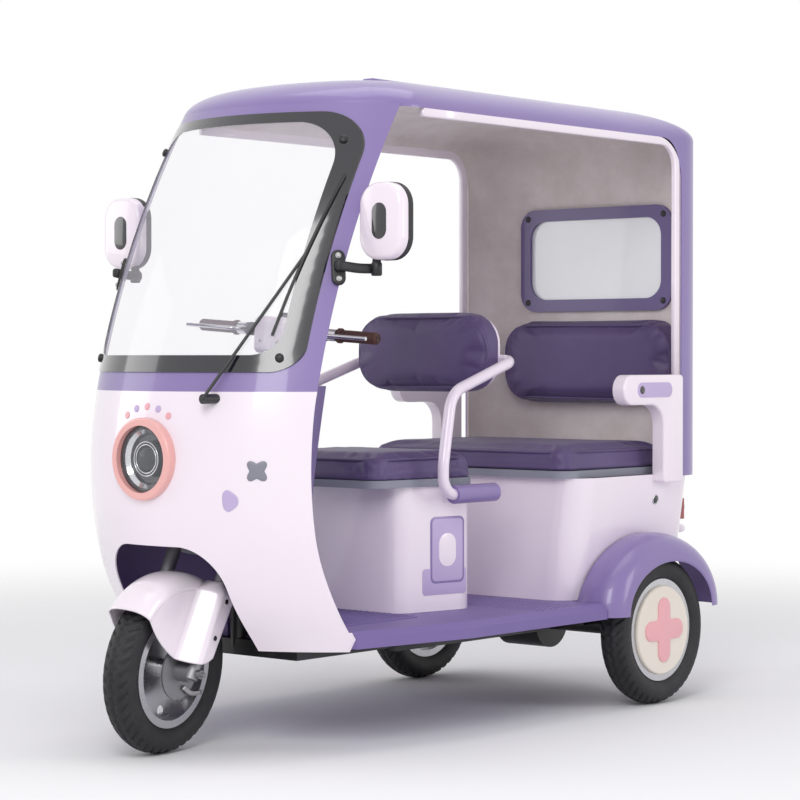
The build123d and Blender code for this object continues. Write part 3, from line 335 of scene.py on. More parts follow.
@dataclass(frozen=True)
class CoatedSteel:
    """Powder-coated or enamelled steel: an even colour over a slightly pebbled skin."""

    name: str
    tint: str
    roughness: float = 0.35
    coat: float = 0.3

    def build(self) -> Material:
        """Even enamel over pebbles about two millimetres across.

        Returns:
            The material.
        """
        material, tree = blank_material(self.name)
        place = add(tree, "TexCoord").outputs["Object"]
        pebble = add(tree, "TexNoise", {"Scale": 450.0, "Detail": 1.0}, {"Vector": place})
        grime = add(tree, "TexNoise", {"Scale": 14.0, "Detail": 5.0}, {"Vector": place})
        rough = add(tree, "MapRange", {"To Min": self.roughness, "To Max": self.roughness + 0.12},
                    {"Value": grime.outputs["Fac"]})
        bump = bumped(tree, pebble.outputs["Fac"], 0.12, 0.0005)
        surface(tree, {"Base Color": srgb(self.tint), "Coat Weight": self.coat, "Coat Roughness": 0.1,
                       "IOR": 1.5},
                {"Roughness": rough.outputs[0], "Normal": bump})
        return material


@dataclass(frozen=True)
class Rubber:
    """Moulded rubber: nearly black, dull, with dust held in its fine texture."""

    name: str
    tint: str
    dust: str
    roughness: float = 0.62

    def build(self) -> Material:
        """Dusty patches over the base colour, with a fine moulded texture.

        Returns:
            The material.
        """
        material, tree = blank_material(self.name)
        place = add(tree, "TexCoord").outputs["Object"]
        patch = add(tree, "TexNoise", {"Scale": 22.0, "Detail": 7.0, "Roughness": 0.7}, {"Vector": place})
        fine = add(tree, "TexNoise", {"Scale": 600.0, "Detail": 2.0}, {"Vector": place})
        paint = two_tone(tree, patch.outputs["Fac"], self.tint, self.dust, 0.45, 0.9)
        bump = bumped(tree, fine.outputs["Fac"], 0.2, 0.0006)
        surface(tree, {"Roughness": self.roughness, "IOR": 1.5},
                {"Base Color": paint, "Normal": bump})
        return material


@dataclass(frozen=True)
class ClearSheet:
    """Clear acrylic or glass sheet: mostly see-through, with a pale tint and a clean gleam."""

    name: str
    tint: str
    body: float = 0.2
    roughness: float = 0.03

    def build(self) -> Material:
        """Transparent film mixed with a pale gloss body, faintly streaked where it was wiped.

        Returns:
            The material.
        """
        material, tree = blank_material(self.name)
        place = add(tree, "TexCoord").outputs["Object"]
        streak = add(tree, "TexNoise", {"Scale": 3.0, "Detail": 2.0}, {"Vector": place})
        alpha = add(tree, "MapRange", {"To Min": self.body * 0.8, "To Max": self.body * 1.2},
                    {"Value": streak.outputs["Fac"]})
        surface(tree, {"Base Color": srgb(self.tint), "Roughness": self.roughness, "IOR": 1.45,
                       "Specular IOR Level": 0.5},
                {"Alpha": alpha.outputs[0]})
        return material


class Kit:
    """Every finish of the tricycle, built once and looked up by name."""

    def __init__(self) -> None:
        """Builds all the finishes."""
        finishes = (
            MouldedShell("purple_abs", "8d7bb2", "8572aa", 0.36, 0.45),
            MouldedShell("pearl_white_abs", "f9eff8", "f5e9f4", 0.28, 0.8, 0.04, 0.06),
            MouldedShell("salmon_ring_abs", "f4b9b4", "efb0ab", 0.3, 0.6),
            MouldedShell("black_gloss_frit", "1d1a24", "18161f", 0.16, 0.9, 0.02, 0.08),
            MouldedShell("cream_cover_abs", "efe8dd", "eae1d4", 0.38, 0.35),
            MouldedShell("pink_cross_abs", "f3b4bb", "eeabb3", 0.4, 0.3),
            MouldedShell("plum_window_abs", "65538a", "5b4a7e", 0.4, 0.3),
            GrainedPlastic("purple_floor_pp", "7d6ba6", "74629c", 0.5, 0.003, 0.35),
            GrainedPlastic("inner_purple_pp", "7a6a9c", "716093", 0.52, 0.003, 0.25),
            GrainedPlastic("grey_rim_pp", "8f919f", "868895", 0.5),
            GrainedPlastic("black_pp", "1c1b1f", "161519", 0.45),
            GrainedPlastic("lilac_patch_vinyl", "c9b7de", "c2afd8", 0.45),
            GrainedPlastic("grey_patch_vinyl", "8b8b98", "82828f", 0.45),
            Leatherette("plum_leatherette", "5b4a78", "4d3c68"),
            LiningCloth("beige_lining_cloth", "ece4e2", "d8cecb"),
            BareMetal("polished_aluminium", "c9c9cc", 0.22),
            BareMetal("chrome_plate", "d8d8dc", 0.08, 0.004, 0.08),
            BareMetal("cast_aluminium", "9a9a9e", 0.42, 0.002, 0.2),
            BareMetal("zinc_bolt", "b0aeae", 0.3),
            CoatedSteel("pale_enamel_steel", "f0e3f2", 0.26, 0.7),
            CoatedSteel("black_coated_steel", "151417", 0.4, 0.2),
            Rubber("tyre_rubber", "18171a", "2e2c2f"),
            Rubber("brown_grip_rubber", "4e2d28", "5d3b34", 0.6),
            ClearSheet("clear_screen_acrylic", "e9e6ef", 0.16),
            ClearSheet("clear_rear_glass", "eef0f4", 0.55),
            ClearSheet("lamp_dome_glass", "dfe4ea", 0.07),
            ClearSheet("lamp_eye_glass", "2a2d33", 0.8, 0.02),
            MouldedShell("red_lens_acrylic", "b01820", "8f1118", 0.12, 1.0),
        )
        self._made = {finish.name: finish.build() for finish in finishes}

    def __getitem__(self, name: str) -> Material:
        """The material of that name."""
        return self._made[name]

    def dress(self, node: str, finish: str) -> None:
        """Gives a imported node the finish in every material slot.

        Args:
            node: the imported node's name.
            finish: the finish's name.
        """
        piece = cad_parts[node]
        if not piece.material_slots:
            piece.data.materials.append(None)
        for place in piece.material_slots:
            place.material = self._made[finish]
        log.info("dressed %s in %s", node, finish)


# Mesh helpers

def merged_object(name: str, vertices: Array, faces: list[tuple[int, ...]]) -> Object:
    """Smooth-shaded mesh object from vertices and faces.

    Args:
        name: the piece's name.
        vertices: points as an (n, 3) array.
        faces: vertex numbers of each face.

    Returns:
        The object, at the origin and linked to the scene.
    """
    mesh = bpy.data.meshes.new(name)
    mesh.from_pydata(vertices.tolist(), [], faces)
    mesh.validate()
    piece = bpy.data.objects.new(name, mesh)
    bpy.context.scene.collection.objects.link(piece)
    shade(piece, True)
    return piece


def grid_faces(rows: int, columns: int, wrap_rows: bool, wrap_columns: bool) -> Array:
    """Quads that join a grid of points, closed on itself either way where asked.

    Args:
        rows: number of rows of points.
        columns: number of points in a row.
        wrap_rows: joins the last row to the first.
        wrap_columns: joins each row's last point to its first.

    Returns:
        Vertex numbers as an (n, 4) array.
    """
    index = np.arange(rows * columns).reshape(rows, columns)
    if wrap_rows:
        index = np.vstack([index, index[:1]])
    if wrap_columns:
        index = np.hstack([index, index[:, :1]])
    corners = (index[:-1, :-1], index[1:, :-1], index[1:, 1:], index[:-1, 1:])
    return np.stack(corners, axis=-1).reshape(-1, 4)


def grid_object(name: str, points: Array, wrap_rows: bool = False, wrap_columns: bool = False,
                capped: bool = False) -> Object:
    """Surface through a grid of points.

    Args:
        name: the piece's name.
        points: grid of points as a (rows, columns, 3) array.
        wrap_rows: joins the last row to the first.
        wrap_columns: joins each row's last point to its first.
        capped: closes the first and last rows with a face each.

    Returns:
        The object, with its faces turned outward where it is closed.
    """
    rows, columns = points.shape[:2]
    faces = [tuple(face) for face in grid_faces(rows, columns, wrap_rows, wrap_columns).tolist()]
    if capped:
        faces.append(tuple(range(columns)))
        faces.append(tuple(range(rows * columns - 1, (rows - 1) * columns - 1, -1)))
    piece = merged_object(name, points.reshape(-1, 3), faces)
    if capped or (wrap_rows and wrap_columns):
        turn_outward(piece)
    return piece


def turn_outward(piece: Object, weld: float = 1e-6) -> None:
    """Welds doubled points of a closed piece and turns its faces outward.

    Args:
        piece: the piece to mend.
        weld: distance under which points are one.
    """
    mesh = bmesh.new()
    mesh.from_mesh(piece.data)
    bmesh.ops.remove_doubles(mesh, verts=mesh.verts, dist=weld)
    bmesh.ops.recalc_face_normals(mesh, faces=mesh.faces)
    mesh.to_mesh(piece.data)
    mesh.free()


def sharpen(piece: Object, degrees: float = 35.0) -> None:
    """Marks edges sharper than an angle so that smooth shading breaks there.

    Args:
        piece: the piece to mark.
        degrees: the angle between faces from which an edge stays sharp.
    """
    piece.data.set_sharp_from_angle(angle=math.radians(degrees))


def places_of(piece: Object) -> Array:
    """Places of a piece's vertices.

    Args:
        piece: the piece.

    Returns:
        Points as an (n, 3) array.
    """
    places = np.empty(len(piece.data.vertices) * 3)
    piece.data.vertices.foreach_get("co", places)
    return places.reshape(-1, 3)


def shade(piece: Object, smooth: bool) -> None:
    """Shades every face of a piece smooth or flat."""
    piece.data.polygons.foreach_set("use_smooth", np.full(len(piece.data.polygons), smooth))


def smooth_step(value: Array) -> Array:
    """Smooth step 3t^2 - 2t^3 of a value held between zero and one."""
    t = np.clip(value, 0, 1)
    return t * t * (3 - 2 * t)


def unit(vectors: Array) -> Array:
    """The vectors, each scaled to length one."""
    return vectors / np.maximum(np.linalg.norm(vectors, axis=-1, keepdims=True), 1e-12)


def smooth_path(points: list[Point] | Array, samples: int) -> Array:
    """Uniform Catmull-Rom curve through points.

    Each span is the cubic p1 + t(p2-p0)/2 + t^2(2p0-5p1+4p2-p3)/2 + t^3(3p1-p0-3p2+p3)/2.

    Args:
        points: points on the curve.
        samples: number of points wanted along the whole curve.

    Returns:
        Points as a (samples, 3) array.
    """
    knots = np.asarray(points, float)
    padded = np.vstack([2 * knots[0] - knots[1], knots, 2 * knots[-1] - knots[-2]])
    spans = len(padded) - 3
    place = np.linspace(0, spans, samples)
    span = np.minimum(place.astype(int), spans - 1)
    t = (place - span)[:, None]
    p0, p1, p2, p3 = (padded[span + step] for step in range(4))
    return (p1 + t * (p2 - p0) / 2 + t**2 * (2 * p0 - 5 * p1 + 4 * p2 - p3) / 2
            + t**3 * (3 * p1 - p0 - 3 * p2 + p3) / 2)


def rounded_box_profile(width: float, height: float, radius: float, steps: int = 5) -> Array:
    """Rectangle outline with round corners, about its middle, anticlockwise.

    Args:
        width: size across.
        height: size up.
        radius: corner radius.
        steps: points along each corner.

    Returns:
        Points as an (n, 2) array.
    """
    radius = min(radius, width / 2 - ON_AXLE, height / 2 - ON_AXLE)
    arc = np.linspace(0, math.pi / 2, steps)
    corners = []
    for turn, (across, up) in enumerate(((1, 1), (-1, 1), (-1, -1), (1, -1))):
        angle = arc + turn * math.pi / 2
        middle = np.array([across * (width / 2 - radius), up * (height / 2 - radius)])
        corners.append(middle + radius * np.stack([np.cos(angle), np.sin(angle)], axis=1))
    return np.vstack(corners)


def ring_profile(radius: float, steps: int = 16) -> Array:
    """Circle outline as an (n, 2) array."""
    angle = np.linspace(0, FULL_TURN, steps, endpoint=False)
    return radius * np.stack([np.cos(angle), np.sin(angle)], axis=1)


def carried(name: str, path: Array, profile: Array, across: Point, closed: bool = False) -> Object:
    """Profile carried along a path.

    At each point of the path the profile's first axis is the given direction with the tangent's part
    taken out, and its second axis is the tangent crossed with the first.

    Args:
        name: the piece's name.
        path: points along the path, (n, 3).
        profile: closed outline, (m, 2).
        across: direction that the profile's first axis keeps to.
        closed: joins the path's end to its start.

    Returns:
        The closed piece.
    """
    if closed:
        tangent = unit(np.roll(path, -1, axis=0) - np.roll(path, 1, axis=0))
    else:
        tangent = unit(np.gradient(path, axis=0))
    fixed = np.broadcast_to(np.asarray(across, float), path.shape)
    first = unit(fixed - tangent * np.sum(fixed * tangent, axis=1, keepdims=True))
    second = np.cross(tangent, first)
    reach = profile[None, :, :]
    points = path[:, None, :] + first[:, None, :] * reach[..., :1] + second[:, None, :] * reach[..., 1:]
    return grid_object(name, points, wrap_rows=closed, wrap_columns=True, capped=not closed)


def turned(name: str, profile: Array, centre: Array | Point, axle: Point, steps: int = 48) -> Object:
    """Profile of (distance along the axle, radius) turned about an axle.

    Args:
        name: the piece's name.
        profile: outline as an (n, 2) array.
        centre: point on the axle from which distances count.
        axle: direction of the axle.
        steps: number of copies round the axle.

    Returns:
        The turned piece.
    """
    along = unit(np.asarray(axle, float))
    helper = np.array([0.0, 0.0, 1.0]) if abs(along[2]) < 0.9 else np.array([1.0, 0.0, 0.0])
    side = unit(np.cross(helper, along))
    up = np.cross(along, side)
    angle = np.linspace(0, FULL_TURN, steps, endpoint=False)
    spoke = side[None, :] * np.cos(angle)[:, None] + up[None, :] * np.sin(angle)[:, None]
    points = (np.asarray(centre, float) + along * profile[None, :, :1]
              + spoke[:, None, :] * profile[None, :, 1:])
    return grid_object(name, points, wrap_rows=True, wrap_columns=True)


def finish_piece(piece: Object, finish: Material, body: Body) -> Object:
    """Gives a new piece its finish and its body.

    Args:
        piece: the piece.
        finish: its material.
        body: the body that it moves with.

    Returns:
        The piece.
    """
    piece.data.materials.clear()
    piece.data.materials.append(finish)
    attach(piece, body.value)
    log.info("made %s: %d faces on %s", piece.name, len(piece.data.polygons), body.value)
    return piece


def fix(piece: Object, finish: Material) -> Object:
    """Finishes a piece that stays with the chassis."""
    return finish_piece(piece, finish, Body.CHASSIS)


# The tricycle's sub-assemblies

@dataclass
class PackedPanels:
    """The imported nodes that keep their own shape, and the finish that each one takes."""

    kit: Kit

    FINISHES = {
        "purple_abs": ("windshield_frame", "roof_shell", "rear_shell", "rear_fenders"),
        "plum_window_abs": ("rear_window_frame",),
        "purple_floor_pp": ("floor_board",),
        "inner_purple_pp": ("knee_panel",),
        "pearl_white_abs": ("front_cowl", "rear_tub", "driver_seat_box", "front_fender", "headset_cover",
                            "side_trims", "mirror_left", "mirror_right"),
        "pale_enamel_steel": ("backrest_hoop", "rear_guard"),
        "black_coated_steel": ("chassis_frame", "rear_axle", "wiper"),
        "plum_leatherette": ("driver_seat_cushion", "rear_seat_cushion", "rear_backrest", "driver_backrest"),
        "grey_rim_pp": ("driver_seat_rim", "rear_seat_rim"),
        "salmon_ring_abs": ("headlamp_ring",),
        "lamp_dome_glass": ("headlamp_lens",),
        "red_lens_acrylic": ("tail_lamps",),
        "black_pp": ("battery_block",),
        "black_gloss_frit": ("windshield_border",),
        "clear_screen_acrylic": ("windshield_pane",),
        "clear_rear_glass": ("rear_window_glass",),
        "beige_lining_cloth": ("cabin_liner",),
        "tyre_rubber": ("front_tyre", "rear_tyre_left", "rear_tyre_right"),
        "polished_aluminium": ("front_rim", "rear_rim_left", "rear_rim_right"),
        "cast_aluminium": ("fork",),
        "chrome_plate": ("handlebar",),
        "brown_grip_rubber": ("grips",),
        "cream_cover_abs": ("wheel_cover_left", "wheel_cover_right"),
    }

    def build(self) -> None:
        """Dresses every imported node."""
        for finish, nodes in self.FINISHES.items():
            for node in nodes:
                self.kit.dress(node, finish)


# Forms shared by the fine pieces

def merged(name: str, pieces: list[Object]) -> Object:
    """Joins pieces into one object and removes them.

    Args:
        name: the joined piece's name.
        pieces: the pieces to join.

    Returns:
        The joined piece.
    """
    whole = bmesh.new()
    for piece in pieces:
        whole.from_mesh(piece.data)
        bpy.data.objects.remove(piece)
    mesh = bpy.data.meshes.new(name)
    whole.to_mesh(mesh)
    whole.free()
    joined = bpy.data.objects.new(name, mesh)
    bpy.context.scene.collection.objects.link(joined)
    return joined


def plate(name: str, outline: Array, centre: Array | Point, across: Point, up: Point, thickness: float,
          bevel: float = 0.0015) -> Object:
    """Pad that stands on a plane, with a rounded edge.

    Each row of points is the outline moved along its own normals by -b(1 - cos a) at the height
    t - b + b sin a, where b is the bevel and t the thickness.

    Args:
        name: the piece's name.
        outline: anticlockwise outline in the plane, (n, 2).
        centre: point of the plane that the outline is drawn about.
        across: the outline's first axis.
        up: the outline's second axis.
        thickness: height of the pad above the plane.
        bevel: radius of its edge.

    Returns:
        The closed pad.
    """
    tangent = unit(np.roll(outline, -1, axis=0) - np.roll(outline, 1, axis=0))
    outward = np.stack([tangent[:, 1], -tangent[:, 0]], axis=1)
    turn = np.linspace(0, math.pi / 2, 4)
    inset = np.concatenate([[0.0], bevel * (1 - np.cos(turn))])
    height = np.concatenate([[0.0], thickness - bevel + bevel * np.sin(turn)])
    flat = outline[None] - outward[None] * inset[:, None, None]
    first, second = unit(np.asarray(across, float)), unit(np.asarray(up, float))
    normal = np.cross(first, second)
    points = (np.asarray(centre, float) + flat[..., :1] * first + flat[..., 1:] * second
              + height[:, None, None] * normal)
    piece = grid_object(name, points, wrap_columns=True, capped=True)
    sharpen(piece, 50)
    return piece


def plus_outline(span: float, half: float, inner: float, steps: int = 9) -> Array:
    """Plus sign with round ends and filleted inner corners, anticlockwise.

    Args:
        span: reach of each arm from the middle.
        half: half the arm's width.
        inner: radius of the inner corners.
        steps: points along each arc.

    Returns:
        Points as an (n, 2) array.
    """
    end = np.linspace(-math.pi / 2, math.pi / 2, steps)
    tip = np.stack([span - half + half * np.cos(end), half * np.sin(end)], axis=1)
    bend = np.linspace(-math.pi / 2, -math.pi, steps)
    corner = half + inner + inner * np.stack([np.cos(bend), np.sin(bend)], axis=1)
    arm = np.vstack([tip, corner])
    turns = np.arange(4) * math.pi / 2
    spun = [arm @ np.array([[math.cos(t), math.sin(t)], [-math.sin(t), math.cos(t)]]) for t in turns]
    return np.vstack(spun)


def bolt(name: str, place: Array | Point, axis: Point, radius: float, head: float) -> Object:
    """Flanged hexagon bolt head with a domed face.

    Args:
        name: the piece's name.
        place: point of the surface under the head.
        axis: direction that the head points in.
        radius: radius of the flange.
        head: height of the head.

    Returns:
        The bolt head.
    """
    flange = np.array([(-0.001, 0.0), (-0.001, radius), (0.25 * head, radius), (0.32 * head, 0.9 * radius),
                       (0.32 * head, 0.0)])
    flange[[0, -1], 1] = ON_AXLE
    nut = np.array([(0.3 * head, ON_AXLE), (0.3 * head, 0.76 * radius), (0.88 * head, 0.76 * radius),
                    (head, 0.62 * radius), (head, ON_AXLE)])
    pieces = [turned(name + "_flange", flange, place, axis, 20), turned(name + "_nut", nut, place, axis, 6)]
    whole = merged(name, pieces)
    shade(whole, False)
    return whole


def button(name: str, place: Array | Point, axis: Point, radius: float, head: float) -> Object:
    """Domed round head or knob: radius r cos a at height h(0.4 + 0.6 sin a).

    Args:
        name: the piece's name.
        place: point of the surface under it.
        axis: direction that it points in.
        radius: its radius.
        head: its height.

    Returns:
        The closed knob.
    """
    turn = np.linspace(0, math.pi / 2, 7)
    dome = np.stack([head * (0.4 + 0.6 * np.sin(turn)), radius * np.cos(turn)], axis=1)
    dome[-1, 1] = ON_AXLE
    base = np.array([(-0.001, ON_AXLE), (-0.001, radius)])
    piece = turned(name, np.vstack([base, dome]), place, axis, 24)
    sharpen(piece, 50)
    return piece


@dataclass(frozen=True)
class SteeringLine:
    """The raked steering line, with the front wheel parked at a lock.

    Places are given as on the straight-ahead wheel, then turned about the line by
    p' = p cos t + (u x p) sin t + u (u . p)(1 - cos t).
    """

    foot: Point = (0.0, -0.839216, 0.189482)
    rake: float = math.radians(25)
    lock: float = math.radians(10)

    def place(self, across: float, along: float, ahead: float) -> Array:
        """Straight-ahead point a distance up the line and a distance ahead of it."""
        up, level = math.cos(self.rake), math.sin(self.rake)
        return np.array([across, self.foot[1] + along * level - ahead * up,
                         self.foot[2] + along * up + ahead * level])

    def parked(self, points: Array | Point) -> Array:
        """Points turned about the line to the parked lock."""
        return self.turned(np.asarray(points, float) - np.array(self.foot)) + np.array(self.foot)

    def turned(self, vectors: Array | Point) -> Array:
        """Directions turned about the line to the parked lock.

        Args:
            vectors: directions, or places less the foot.

        Returns:
            The turned directions.
        """
        vectors = np.asarray(vectors, float)
        line = np.array([0.0, math.sin(self.rake), math.cos(self.rake)])
        along = (vectors @ line)[..., None] * line
        return (vectors * math.cos(self.lock) + np.cross(line, vectors) * math.sin(self.lock)
                + along * (1 - math.cos(self.lock)))

    def park(self, piece: Object) -> Object:
        """Turns a piece modelled straight ahead to the parked lock.

        Args:
            piece: the piece.

        Returns:
            The same piece.
        """
        piece.data.vertices.foreach_set("co", self.parked(places_of(piece)).ravel())
        piece.data.update()
        return piece


@dataclass(frozen=True)
class FrontBody:
    """The bowed front: a circular plan arc carried along a nose curve."""

    radius: float = 0.485
    datum: float = -0.88
    nose: float = -0.062
    nose_height: float = 0.70
    cowl_bow: float = 0.812
    screen_bow: float = 1.8
    cowl_top: float = 0.889

    def nose_line(self, height: Array | float) -> Array | float:
        """Station of the nose: a parabola up to the screen's foot, then a flatter one.

        Args:
            height: height over the ground.

        Returns:
            The nose's station.
        """
        below = np.minimum(height, self.cowl_top) - self.nose_height
        rise = np.maximum(height - self.cowl_top, 0.0)
        slope = (self.cowl_top - self.nose_height) / self.cowl_bow
        return self.nose + below**2 / (2 * self.cowl_bow) + slope * rise + rise**2 / (2 * self.screen_bow)

    def point(self, across: float, height: float, proud: float = 0.0) -> Array:
        """Point of the skin, moved outward in plan.

        Args:
            across: place across, from the middle.
            height: height over the ground.
            proud: distance outward from the skin.

        Returns:
            The point.
        """
        centre = self.nose_line(height) + self.radius + self.datum
        turn = math.asin(across / self.radius)
        reach = self.radius + proud
        return np.array([reach * math.sin(turn), centre - reach * math.cos(turn), height])

    def outward(self, across: float, height: float) -> Array:
        """Outward normal of the skin, from its two slopes.

        Args:
            across: place across, from the middle.
            height: height over the ground.

        Returns:
            A vector of length one.
        """
        step = 0.002
        side = self.point(across + step, height) - self.point(across - step, height)
        rise = self.point(across, height + step) - self.point(across, height - step)
        return unit(np.cross(side, rise))


@dataclass(frozen=True)
class Tyre:
    """Treaded tyre in place of a plain tyre node.

    The tread's radius is r0 - d g, where the groove share g is a smooth step of the distance to the
    nearest groove, and the grooves run at N a / 2 pi + k |x| / w, half a lug apart on the two sides. Two
    ribs and a middle groove run round the tread, and a fine ring stands on each wall.
    """

    node: str
    body: Body
    centre: Array
    axle: Array
    tread_half: float = 0.034
    tread_margin: float = 0.004
    tread_flank: float = 0.003
    shoulder: float = 0.19
    lugs: int = 44
    depth: float = 0.0042
    sweep: float = 1.15
    lug_share: float = 0.62
    lug_flank: float = 0.16
    rib_place: float = 0.0125
    rib_reach: float = 0.0045
    rib_flank: float = 0.002
    middle_reach: float = 0.0035
    middle_flank: float = 0.0015
    middle_depth: float = 0.8
    ring_height: float = 0.0007
    ring_radius: float = 0.1535
    ring_reach: float = 0.0016
    turns: int = 528
    outline_points: int = 61

    def build(self, kit: Kit) -> None:
        """Makes the tyre.

        Args:
            kit: the tricycle's finishes.
        """
        profile = self._outline()
        turn = np.linspace(0, FULL_TURN, self.turns, endpoint=False)
        across, radius = profile[None, :, 0], profile[None, :, 1]
        reach = radius - self.depth * self._cut(turn, across) * (radius > self.shoulder)
        ring = self.ring_height * np.clip(1 - np.abs(radius - self.ring_radius) / self.ring_reach, 0, 1)
        wide = across + np.sign(across) * ring
        along = unit(self.axle)
        side = unit(np.cross(np.array([0.0, 0.0, 1.0]), along))
        up = np.cross(along, side)
        spoke = side[None] * np.cos(turn)[:, None] + up[None] * np.sin(turn)[:, None]
        points = (self.centre + along * wide[..., None] + spoke[:, None, :] * reach[..., None])
        piece = grid_object(self.node + "_treaded", points, wrap_rows=True, wrap_columns=True)
        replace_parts(finish_piece(piece, kit["tyre_rubber"], self.body), self.node)

    def _outline(self) -> Array:
        """Smooth outline (x, radius) from bead to bead, through knots of one wall and their mirror.

        Returns:
            Points as an (n, 2) array.
        """
        knots = np.array([(0.0277, 0.1278), (0.0277, 0.1360), (0.0282, 0.1432), (0.0345, 0.1500),
                          (0.0402, 0.1610), (0.0427, 0.1740), (0.0412, 0.1855), (0.0372, 0.1935),
                          (0.0320, 0.1990), (0.0240, 0.2032), (0.0130, 0.2072), (0.0, 0.2085)])
        mirrored = knots[-2::-1] * np.array([-1.0, 1.0])
        whole = np.column_stack([np.vstack([knots, mirrored]), np.zeros(2 * len(knots) - 1)])
        return smooth_path(whole, self.outline_points)[:, :2]

    def _cut(self, turn: Array, across: Array) -> Array:
        """Share of the groove's depth at each angle and each place across the tyre.

        Args:
            turn: angles in radians.
            across: places across the tyre, from its middle.

        Returns:
            Shares from zero to one, as (turns, points).
        """
        phase = self.lugs * turn[:, None] / FULL_TURN + self.sweep * np.abs(across) / self.tread_half
        phase = phase + 0.5 * (across > 0)
        off = np.abs((phase % 1.0) - 0.5) * 2
        groove = smooth_step((off - self.lug_share) / self.lug_flank)
        rib = np.clip((self.rib_reach - np.abs(np.abs(across) - self.rib_place)) / self.rib_flank, 0, 1)
        middle = np.clip((self.middle_reach - np.abs(across)) / self.middle_flank, 0, 1)
        edge = self.tread_half + self.tread_margin
        on_tread = np.clip((edge - np.abs(across)) / self.tread_flank, 0, 1)
        return np.maximum(groove * (1 - rib), self.middle_depth * middle) * on_tread


@dataclass(frozen=True)
class Wheels:
    """The three treaded tyres, and the pink crosses on the rear wheels' covers."""

    steering: SteeringLine
    rear_x: float = 0.425
    rear_y: float = 0.615
    front_y: float = -0.88
    axle_height: float = 0.2085
    cross_span: float = 0.0906
    cross_half: float = 0.0276
    cross_inner: float = 0.008
    cross_foot: float = 0.0045
    cross_thick: float = 0.0053
    cross_bevel: float = 0.0018

    def build(self, kit: Kit) -> None:
        """Makes the parts of all three wheels.

        Args:
            kit: the tricycle's finishes.
        """
        front = self.steering.parked((0.0, self.front_y, self.axle_height))
        Tyre("front_tyre", Body.FRONT_WHEEL, front, self.steering.turned((1.0, 0.0, 0.0))).build(kit)
        for sign, body, side in ((1, Body.REAR_LEFT, "left"), (-1, Body.REAR_RIGHT, "right")):
            centre = np.array([sign * self.rear_x, self.rear_y, self.axle_height])
            Tyre("rear_tyre_" + side, body, centre, np.array([1.0, 0.0, 0.0])).build(kit)
            self._cross(kit, sign, body, side)

    def _cross(self, kit: Kit, sign: int, body: Body, side: str) -> None:
        """Pink cross on a rear wheel's cover, with its foot below the cover's face.

        Args:
            kit: the tricycle's finishes.
            sign: one for the left side, minus one for the right.
            body: the wheel body that it turns with.
            side: the side's name.
        """
        low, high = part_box("wheel_cover_" + side)
        face = high[0] if sign > 0 else low[0]
        centre = np.array([face - sign * self.cross_foot, self.rear_y, self.axle_height])
        outline = plus_outline(self.cross_span, self.cross_half, self.cross_inner)
        pad = plate("cover_cross_" + side, outline, centre, (0, sign, 0), (0, 0, 1), self.cross_thick,
                    self.cross_bevel)
        finish_piece(pad, kit["pink_cross_abs"], body)


